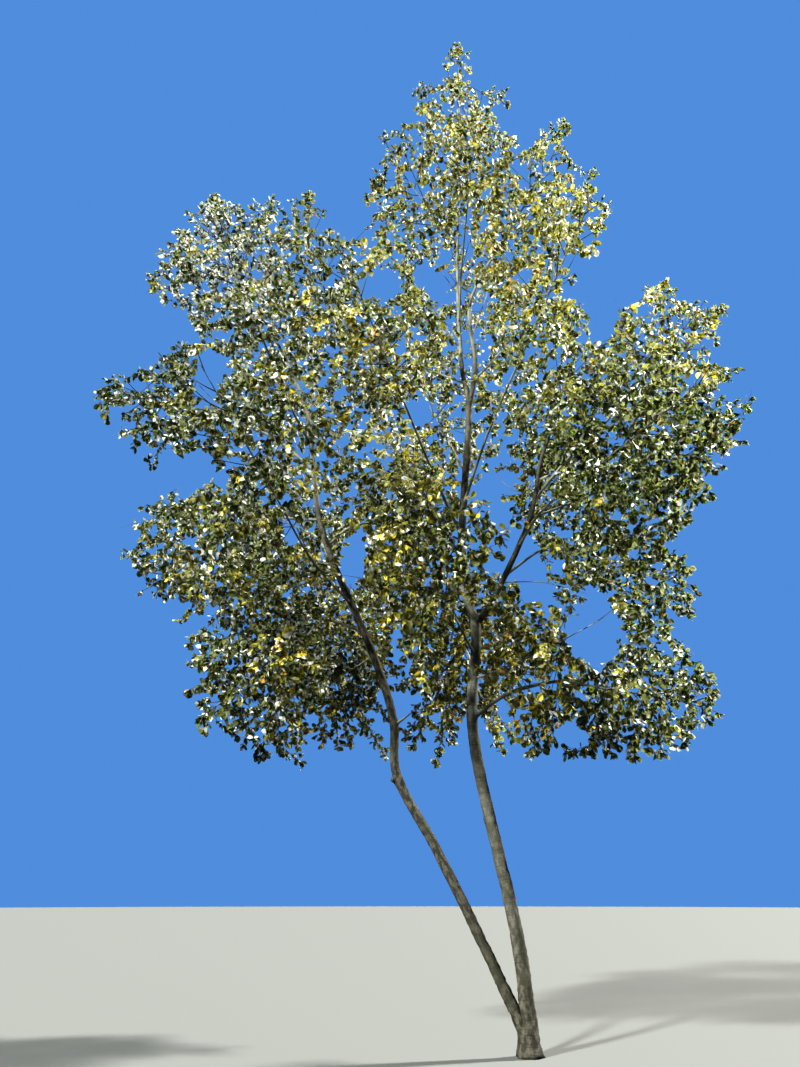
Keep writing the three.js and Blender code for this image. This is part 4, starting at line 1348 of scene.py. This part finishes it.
def new_shape_tree(name, inputs):
    """An empty Geometry Nodes tree with a mesh in, a mesh out and named inputs"""
    group = bpy.data.node_groups.new(name, "GeometryNodeTree")
    group.interface.new_socket("Geometry", in_out="INPUT", socket_type="NodeSocketGeometry")
    for label, kind, value in inputs:
        socket = group.interface.new_socket(label, in_out="INPUT", socket_type=kind)
        if value is not None:
            socket.default_value = value
    group.interface.new_socket("Geometry", in_out="OUTPUT", socket_type="NodeSocketGeometry")
    tree = Tree(group)
    return tree, tree.add("NodeGroupInput").outputs, tree.add("NodeGroupOutput").inputs


def shaped(name, mesh, group, values):
    """The plain mesh piece that a tree makes of a mesh, with the tree's inputs set"""
    source = new_object(f"{name}_source", mesh)
    modifier = source.modifiers.new("shape", "NODES")
    modifier.node_group = group
    for item in group.interface.items_tree:
        if item.in_out == "INPUT" and item.name in values:
            modifier[item.identifier] = values[item.name]
    bpy.context.view_layer.update()
    result = bpy.data.meshes.new_from_object(source.evaluated_get(bpy.context.evaluated_depsgraph_get()))
    result.name = name
    source.modifiers.remove(modifier)
    bpy.data.objects.remove(source)
    return new_object(name, result)


def make_twig_tree():
    """Lines of points become round tapered twigs, closed at their ends"""
    inputs = [
        ("Sides", "NodeSocketInt", 3),
        ("Thickness", "NodeSocketFloat", 1.0),
        ("Bark", "NodeSocketMaterial", None),
    ]
    tree, given, result = new_shape_tree("twigs_along_lines", inputs)
    lines = tree.add("GeometryNodeMeshToCurve", Mesh=given["Geometry"])
    girth = tree.add("GeometryNodeInputNamedAttribute", {"data_type": "FLOAT"}, Name="girth")
    ring = tree.add("GeometryNodeCurvePrimitiveCircle", Resolution=given["Sides"], Radius=1.0)
    skin = tree.add(
        "GeometryNodeCurveToMesh",
        Curve=lines.outputs[0],
        Profile_Curve=ring.outputs["Curve"],
        Scale=tree.product(girth.outputs["Attribute"], given["Thickness"]),
        Fill_Caps=True,
    )
    plain = tree.add("GeometryNodeRealizeInstances", Geometry=skin.outputs[0])
    finish = tree.add("GeometryNodeSetMaterial", Geometry=plain.outputs[0], Material=given["Bark"])
    tree.fill(result["Geometry"], finish.outputs[0])
    return tree.tree


def line_mesh(lines):
    """A mesh of edges only, one row for each line, with its radius as girth"""
    points = np.vstack([line[0] for line in lines])
    counts = [len(line[0]) for line in lines]
    ends = np.cumsum(counts).tolist()
    edges = [(i, i + 1) for end, count in zip(ends, counts) for i in range(end - count, end - 1)]
    mesh = bpy.data.meshes.new("lines")
    mesh.from_pydata(points.tolist(), edges, [])
    set_values(mesh, "girth", "FLOAT", np.concatenate([line[1] for line in lines]))
    return mesh


def make_leaf_tree(finishes):
    """Points become leaves: each has its form, turn, size and the finish of its two sides"""
    inputs = [("Forms", "NodeSocketCollection", None), ("Leaf size", "NodeSocketFloat", LEAF_LENGTH)]
    inputs += [(f"Finish {name}", "NodeSocketMaterial", None) for name in finishes]
    tree, given, result = new_shape_tree("leaves_at_points", inputs)

    def value(name, kind):
        node = tree.add("GeometryNodeInputNamedAttribute", {"data_type": kind}, Name=name)
        return node.outputs["Attribute"]

    forms = tree.add(
        "GeometryNodeCollectionInfo", Collection=given["Forms"], Separate_Children=True, Reset_Children=True
    )
    points = tree.add("GeometryNodeMeshToPoints", Mesh=given["Geometry"])
    turn = tree.add("FunctionNodeEulerToRotation", Euler=value("turn", "FLOAT_VECTOR"))
    leaves = tree.add(
        "GeometryNodeInstanceOnPoints",
        Points=points.outputs[0],
        Instance=forms.outputs[0],
        Pick_Instance=True,
        Instance_Index=value("form", "INT"),
        Rotation=turn.outputs[0],
        Scale=tree.product(value("size", "FLOAT"), given["Leaf size"]),
    )
    shape = tree.add("GeometryNodeRealizeInstances", Geometry=leaves.outputs[0])
    side = tree.add("GeometryNodeSwitch", {"input_type": "INT"}, Switch=value("underside", "BOOLEAN"))
    tree.fill(side.inputs["False"], value("upper_finish", "INT"))
    tree.fill(side.inputs["True"], value("under_finish", "INT"))
    for index, name in enumerate(finishes):
        picked = tree.add("FunctionNodeCompare", {"data_type": "INT", "operation": "EQUAL"})
        whole_numbers = [socket for socket in picked.inputs if socket.enabled]
        tree.fill(whole_numbers[0], side.outputs[0])
        tree.fill(whole_numbers[1], index)
        shape = tree.add(
            "GeometryNodeSetMaterial",
            Geometry=shape.outputs[0],
            Selection=picked.outputs[0],
            Material=given[f"Finish {name}"],
        )
    tree.fill(result["Geometry"], shape.outputs[0])
    return tree.tree


def leaf_form(name, outline, form, collection):
    """A thin closed leaf on the way +Y from its stalk, its upper side up: outline points to the right"""
    width, fold, curl = form
    right = [(x * width, y) for x, y in outline[1:-1]]
    rim = [outline[0], *right, outline[-1], *[(-x, y) for x, y in reversed(right)]]
    count = len(rim)
    vertices = [(x, y, fold * abs(x) - curl * y * y) for x, y in rim]
    vertices.append((0, LEAF_MIDDLE, -LEAF_THICKNESS - curl * LEAF_MIDDLE))
    upper = [(0, i, i + 1) for i in range(1, count - 1)]
    lower = [((i + 1) % count, i, count) for i in range(count)]
    mesh = bpy.data.meshes.new(name)
    mesh.from_pydata(vertices, [], upper + lower)
    set_values(mesh, "underside", "BOOLEAN", [False] * len(upper) + [True] * len(lower), "FACE")
    collection.objects.link(bpy.data.objects.new(name, mesh))


def make_leaf_forms():
    forms = bpy.data.collections.new("leaf_forms")
    bpy.context.scene.collection.children.link(forms)
    for index, form in enumerate(ROUND_FORMS):
        leaf_form(f"form_{index}_round", ROUND_LEAF, form, forms)
    leaf_form(f"form_{len(ROUND_FORMS)}_lobed", LOBED_LEAF, LOBED_FORM, forms)
    return forms


def leaf_ways(random, places, outward):
    """Where each leaf points, and where its upper side looks"""
    axes = outward * LEAF_OUTWARD + [0, 0, -LEAF_DROOP] + random.normal(0, LEAF_WAY_ANY, places.shape)
    from_middle = unit_rows((places - CROWN_CENTRE) * CROWN_ROUNDING)
    normals = LEAF_FACE_UP * np.array([0, 0, 1.0]) + LEAF_FACE_OUT * from_middle
    normals = normals + random.normal(0, LEAF_FACE_ANY, places.shape)
    return unit_rows(axes), unit_rows(normals)


def turn_over(random, normals, across, down):
    """The wind turns some leaves over, which are marked with true"""
    shares = with_places(TURNED_SHARE, across, down, WHITE_PLACES)
    turned_over = random.random(len(normals)) < shares
    shown = unit_rows(np.array(TURNED_WAY) + random.normal(0, TURNED_ANY, normals.shape))
    normals[turned_over] = shown[turned_over]
    return turned_over


def leaf_turns(axes, normals):
    """The turn of each leaf as three angles, from where it points and where its upper side looks"""
    across = np.cross(axes, normals)
    across /= np.linalg.norm(across, axis=1)[:, None]
    normals = np.cross(across, axes)
    around_y = -np.arcsin(np.clip(across[:, 2], -1, 1))
    around_x = np.arctan2(axes[:, 2], normals[:, 2])
    around_z = np.arctan2(across[:, 1], across[:, 0])
    return np.stack([around_x, around_y, around_z], axis=1)


def spray_tint_and_light(random, place, across, down):
    """How far a spray has turned, by its place in the crown, with painted light and shade, as a number
    along UPPER_FINISHES
    """
    # Yellower low down and greener at the top: partly tint, partly painted light low in the crown and
    # painted shade at its top
    warmth_and_light = FOOT_WARMTH_AND_LIGHT - WARMTH_AND_SHADE_FALL * (place[2] / TREE_HEIGHT)
    warmth_and_light = with_places(warmth_and_light, across, down, WARM_AND_PAINTED_LIGHT_PLACES)
    warmth_and_light += TINT_WAVE_DEPTH * np.sin(TINT_WAVES @ place).sum()
    return warmth_and_light + random.normal(0, SPRAY_TINT_ANY)


def spray_looks(random, places, sprays, across, down):
    """How far each leaf's spray has turned, with painted light and shade, and how little its undersides are
    white, from 0 to 1
    """
    tints_and_light, felts = [], []
    _, first, spray = np.unique(sprays, return_index=True, return_inverse=True)
    for row in first:
        tints_and_light.append(spray_tint_and_light(random, places[row], across[row], down[row]))
        felts.append(random.random())
    return np.array(tints_and_light)[spray], np.array(felts)[spray]


def upper_finishes(random, tints_and_light):
    """The finish of each upper side, as a number along UPPER_FINISHES, whose last one is rare"""
    amber = len(UPPER_FINISHES) - 1
    warmest = np.where(tints_and_light > AMBER_FROM, amber, amber - 1)
    tints_and_light = np.round(tints_and_light + random.normal(0, LEAF_TINT_ANY, len(tints_and_light)))
    finishes = np.clip(tints_and_light, 0, warmest).astype(int)
    finishes[random.random(len(tints_and_light)) < AMBER_SHARE] = amber
    return finishes


def under_finishes(random, felts, heights, turned_over):
    """The finish of each underside, white or olive"""
    white = WHITE_SHARE_LOW + (WHITE_SHARE_HIGH - WHITE_SHARE_LOW) * heights / TREE_HEIGHT
    white += WHITE_SHARE_TURNED * turned_over
    felts = felts * FELT_BY_SPRAY + random.random(len(felts)) * (1 - FELT_BY_SPRAY)
    return len(UPPER_FINISHES) + np.where(felts < white, 0, 1)


def pick_forms(random, count):
    """The form of each leaf, mostly one of the round ones"""
    lobed = random.random(count) < LOBED_SHARE
    return np.where(lobed, len(ROUND_FORMS), random.integers(0, len(ROUND_FORMS), count))


def thinned(random, places, across, down):
    """True for each leaf that is left out where limbs show"""
    left_out = np.zeros(len(places), bool)
    for *oval, share, depth in THIN_PLACES:
        near = (oval_share(across, down, *oval) < 1) & (places[:, 1] < depth)
        left_out |= near & (random.random(len(places)) < share)
    return left_out


def in_box(points):
    """True for each point well within the box of the solids"""
    low, high = np.array(cad_box[0]) + BOX_ROOM, np.array(cad_box[1]) - BOX_ROOM
    return np.all((points > low) & (points < high), axis=1)


def dress_leaves(growth):
    """Every leaf's place, turn, size, form, two finishes and mass, where it is kept"""
    rows = np.array(growth.leaves)
    places, outward = rows[:, :3], rows[:, 3:6]
    mass_numbers, sprays = rows[:, 6].astype(int), rows[:, 7].astype(int)
    random = np.random.default_rng(LEAF_SEED)
    axes, normals = leaf_ways(random, places, outward)
    sizes = random.uniform(*LEAF_SIZES, len(rows))
    blades = places + axes * LEAF_REACH
    view = picture_place(blades)
    turned_over = turn_over(random, normals, *view)
    tints_and_light, felts = spray_looks(random, places, sprays, *view)
    leaves = {
        "place": places,
        "turn": leaf_turns(axes, normals),
        "size": sizes,
        "upper_finish": upper_finishes(random, tints_and_light),
        "under_finish": under_finishes(random, felts, places[:, 2], turned_over),
        "form": pick_forms(random, len(rows)),
        "mass": mass_numbers,
        "spray": sprays,
    }
    keep = ~in_gap(blades, GAP_FOR_LEAVES)
    keep &= in_crown(places, EDGE_ROOM) | (sprays >= growth.first_shoot)
    keep &= ~thinned(random, places, *view)
    keep &= in_box(places) & in_box(places + axes * (LEAF_LENGTH * sizes)[:, None])
    return {name: values[keep] for name, values in leaves.items()}


def leaf_points(leaves, picked):
    """A mesh of single points, one for each leaf of a piece, with all that the leaf needs"""
    mesh = bpy.data.meshes.new("leaf_places")
    mesh.from_pydata(leaves["place"][picked].tolist(), [], [])
    set_values(mesh, "turn", "FLOAT_VECTOR", leaves["turn"][picked])
    set_values(mesh, "size", "FLOAT", leaves["size"][picked])
    for name in ("form", "upper_finish", "under_finish"):
        set_values(mesh, name, "INT", leaves[name][picked].astype(np.int32))
    return mesh


def make_leaf_finishes():
    """The materials of upper sides and undersides, by name"""
    finishes = {}
    for glow, looks in ((GREEN_GLOW, UPPER_FINISHES), (FELT_GLOW, UNDER_FINISHES)):
        for name, (tone, roughness) in looks.items():
            finishes[name] = leaf_finish(name, tone, roughness, glow)
    return finishes


def make_leaf_pieces(leaves, masses):
    """One piece for each region of the crown, on its masses"""
    forms = make_leaf_forms()
    finishes = make_leaf_finishes()
    tree = make_leaf_tree(finishes)
    names = [mass.name for mass in masses]
    values = {"Forms": forms, "Leaf size": LEAF_LENGTH}
    values.update({f"Finish {name}": material for name, material in finishes.items()})
    for region, members in LEAF_REGIONS.items():
        members = [f"{member}_leaves" for member in members]
        picked = np.isin(leaves["mass"], [names.index(member) for member in members])
        piece = shaped(f"{region}_foliage", leaf_points(leaves, picked), tree, values)
        hand_over(piece, members)
    for form in list(forms.objects):
        bpy.data.objects.remove(form)
    bpy.data.collections.remove(forms)


def linear(tone):
    """A colour given as on a screen, from 0 to 255, as the renderer counts it"""
    parts = [value / 255 for value in tone]
    return (*[part / 12.92 if part < 0.04 else ((part + 0.055) / 1.055) ** 2.4 for part in parts], 1)


def new_material(name, roughness=0.5):
    """A new plain material, the builder of its node tree, and its shader's inputs"""
    material = bpy.data.materials.new(name)
    material.use_nodes = True
    shader = material.node_tree.nodes["Principled BSDF"].inputs
    shader["Roughness"].default_value = roughness
    return material, Tree(material.node_tree), shader


def leaf_finish(name, tone, roughness, glow):
    material, _, shader = new_material(f"leaf_{name}", roughness)
    shader["Base Color"].default_value = linear(tone)
    shader["Subsurface Weight"].default_value = LEAF_GLOW
    shader["Subsurface Radius"].default_value = glow
    shader["Subsurface Scale"].default_value = LEAF_GLOW_DEPTH
    return material


def layered(tree, tone, layers):
    """A colour under layers: each a mark, how strongly it shows, and its colour"""
    for mark, strength, colour in layers:
        tone = tree.mixed(tree.product(mark, strength), tone, colour)
    return tone


def make_bark(name, old_from, young_to):
    """Poplar bark: rough and dark where the limb is thick, smooth and pale with dark marks above; its girth
    also carries painted shade and light
    """
    material, tree, shader = new_material(name, BARK_ROUGHNESS)
    place = tree.add("ShaderNodeAttribute", {"attribute_name": "bark_place"}).outputs["Vector"]
    girth = tree.add("ShaderNodeAttribute", {"attribute_name": "girth"}).outputs["Fac"]
    # How old the bark looks, from its girth, which also carries painted shade and light
    age_and_shade = tree.ranged(girth, young_to, old_from)

    noises, marks = {}, {}
    for pattern, (scale, detail, low, high) in BARK_PATTERNS.items():
        noises[pattern] = tree.noise(tree.stretched(place, scale), 1, detail)
        marks[pattern] = tree.ranged(noises[pattern], low, high)
    scale, low, high = PIT_PATTERN
    settings = {"distance": "CHEBYCHEV"}
    pits = tree.add("ShaderNodeTexVoronoi", settings, Vector=tree.stretched(place, scale), Scale=1.0)
    pit = tree.product(tree.ranged(pits.outputs["Distance"], low, high), marks["blotch"])
    grain = tree.noise(place, GRAIN_SCALE, GRAIN_DETAIL)

    ring, streak, dark = marks["ring"], marks["streak"], linear(MARK_BARK)
    pale = tree.mixed(marks["blotch"], linear(PALE_BARK), linear(GREEN_BARK))
    pale = layered(tree, pale, [(ring, YOUNG_RINGS, dark), (pit, YOUNG_PITS, dark)])
    old = tree.mixed(marks["patch"], linear(OLD_BARK), linear(WORN_BARK))
    moss = (marks["blotch"], OLD_MOSS, linear(MOSS_BARK))
    old = layered(tree, old, [(streak, OLD_STREAKS, dark), moss, (ring, OLD_RINGS, dark)])
    tree.fill(shader["Base Color"], tree.mixed(age_and_shade, pale, old))

    height = tree.mixed(GRAIN_SHARE, noises["streak"], grain)
    height = layered(tree, height, [(pit, PIT_CUT, BLACK), (ring, RING_CUT, BLACK)])
    bump = tree.add("ShaderNodeBump", Strength=FINE_RELIEF, Distance=FINE_RELIEF_HEIGHT, Height=height)
    tree.fill(shader["Normal"], bump.outputs[0])
    shader["Specular IOR Level"].default_value = BARK_SHINE
    return material


def make_twig_bark(name, tone, other):
    material, tree, shader = new_material(name, TWIG_ROUGHNESS)
    place = tree.add("ShaderNodeTexCoord").outputs["Object"]
    scale, detail, low, high = TWIG_PATTERN
    patch = tree.ranged(tree.noise(place, scale, detail), low, high)
    tree.fill(shader["Base Color"], tree.mixed(patch, linear(tone), linear(other)))
    return material


def hand_over(piece, nodes):
    """A finished piece stands on the root body, and the solids that it stands for are hidden"""
    if nodes:
        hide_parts(*nodes)
    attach(piece, "root")


def make_bark_pieces(limbs):
    """The bark of the two stems with the stub, and the bark of all that is thinner"""
    old_bark = make_bark("stem_bark", *STEM_BARK_GIRTHS)
    young_bark = make_bark("bough_bark", *BOUGH_BARK_GIRTHS)
    stem_skins, bough_skins = [], []
    for seed, limb in enumerate(limbs.values(), SEED):
        if limb.name in STEM_SKINS:
            stem_skins.append(bark_skin(limb, *STEM_SKINS[limb.name], seed))
        else:
            bough_skins.append(bark_skin(limb, *BOUGH_SKIN, seed))
    hand_over(bark_piece("stems_bark", stem_skins, old_bark), ["trunk", "left_stem"])
    bough_names = [row[0] for row in BOUGHS]
    hand_over(bark_piece("boughs_bark", bough_skins, young_bark), bough_names)


def make_twig_pieces(growth, leaves):
    """The thicker of the thin branches, and the twigs that carry leaves"""
    tree = make_twig_tree()
    thick, thin = [], []
    for line in growth.wanted_lines(leaves):
        (thick if line[1][0] >= 2 * TWIG_RADIUS else thin).append(line)
    for name, lines, look in (("fine_branches", thick, BRANCH_LOOK), ("twigs", thin, TWIG_LOOK)):
        sides, *tones = look
        bark = make_twig_bark(f"{name}_bark", *tones)
        piece = shaped(name, line_mesh(lines), tree, {"Sides": sides, "Thickness": 1.0, "Bark": bark})
        hand_over(piece, [])


def set_stage(piece, name, material):
    """A piece of the stage is seen, but throws no light back at the tree"""
    piece.name = name
    piece.data.materials.append(material)
    piece.visible_diffuse = False
    piece.visible_glossy = False


def make_floor():
    """A plain pale floor, a little below the foot of the tree"""
    material, _, shader = new_material("pale_floor", FLOOR_ROUGHNESS)
    shader["Base Color"].default_value = linear(FLOOR_TONE)
    bpy.ops.mesh.primitive_circle_add(vertices=FLOOR_CORNERS, radius=FLOOR_RADIUS, fill_type="NGON")
    floor = bpy.context.object
    floor.location.z = -FLOOR_DROP
    set_stage(floor, "floor", material)


def make_backdrop():
    """An even blue all round, which glows by itself and keeps no light out"""
    material, _, shader = new_material("plain_backdrop")
    shader["Base Color"].default_value = BLACK
    shader["Specular IOR Level"].default_value = 0
    shader["Emission Color"].default_value = linear(BACKDROP_TONE)
    shader["Emission Strength"].default_value = 1
    bpy.ops.mesh.primitive_uv_sphere_add(
        segments=BACKDROP_SEGMENTS, ring_count=BACKDROP_RINGS, radius=BACKDROP_RADIUS
    )
    backdrop = bpy.context.object
    backdrop.visible_shadow = False
    set_stage(backdrop, "backdrop", material)


def make_light():
    """A weak pale sky, a soft sun from the right, and a fill from the left"""
    world = bpy.data.worlds.new("pale_sky")
    world.use_nodes = True
    sky = world.node_tree.nodes["Background"]
    sky.inputs["Color"].default_value = (*SKY_TONE, 1)
    sky.inputs["Strength"].default_value = SKY_STRENGTH
    bpy.context.scene.world = world
    for name, tone, strength, width, turns in SUNS:
        lamp = bpy.data.lights.new(name, "SUN")
        lamp.energy = strength
        lamp.color = tone
        lamp.angle = math.radians(width)
        sun = new_object(name, lamp)
        sun.rotation_euler = [math.radians(angle) for angle in turns]


def make_camera():
    """The view of the front: low down near the tree, and tilted up at its crown"""
    lens = bpy.data.cameras.new("front_view")
    lens.sensor_fit = "VERTICAL"
    lens.sensor_height = SENSOR
    lens.lens = FOCAL_PIXELS / PICTURE_HEIGHT * SENSOR
    lens.clip_end = CAMERA_SIGHT
    camera = new_object("front_view", lens)
    camera.location = CAMERA_PLACE
    camera.rotation_euler = (math.pi / 2 + CAMERA_PITCH, 0, 0)
    bpy.context.scene.camera = camera
    bpy.context.scene.view_settings.view_transform = "Standard"
    bpy.context.scene.view_settings.look = "Medium High Contrast"


masses = make_masses()
limbs, mass_stems = make_limbs(masses)
growth = grow_crown(masses, mass_stems)
leaves = dress_leaves(growth)
make_bark_pieces(limbs)
make_twig_pieces(growth, leaves)
make_leaf_pieces(leaves, masses)
make_floor()
make_backdrop()
make_light()
make_camera()
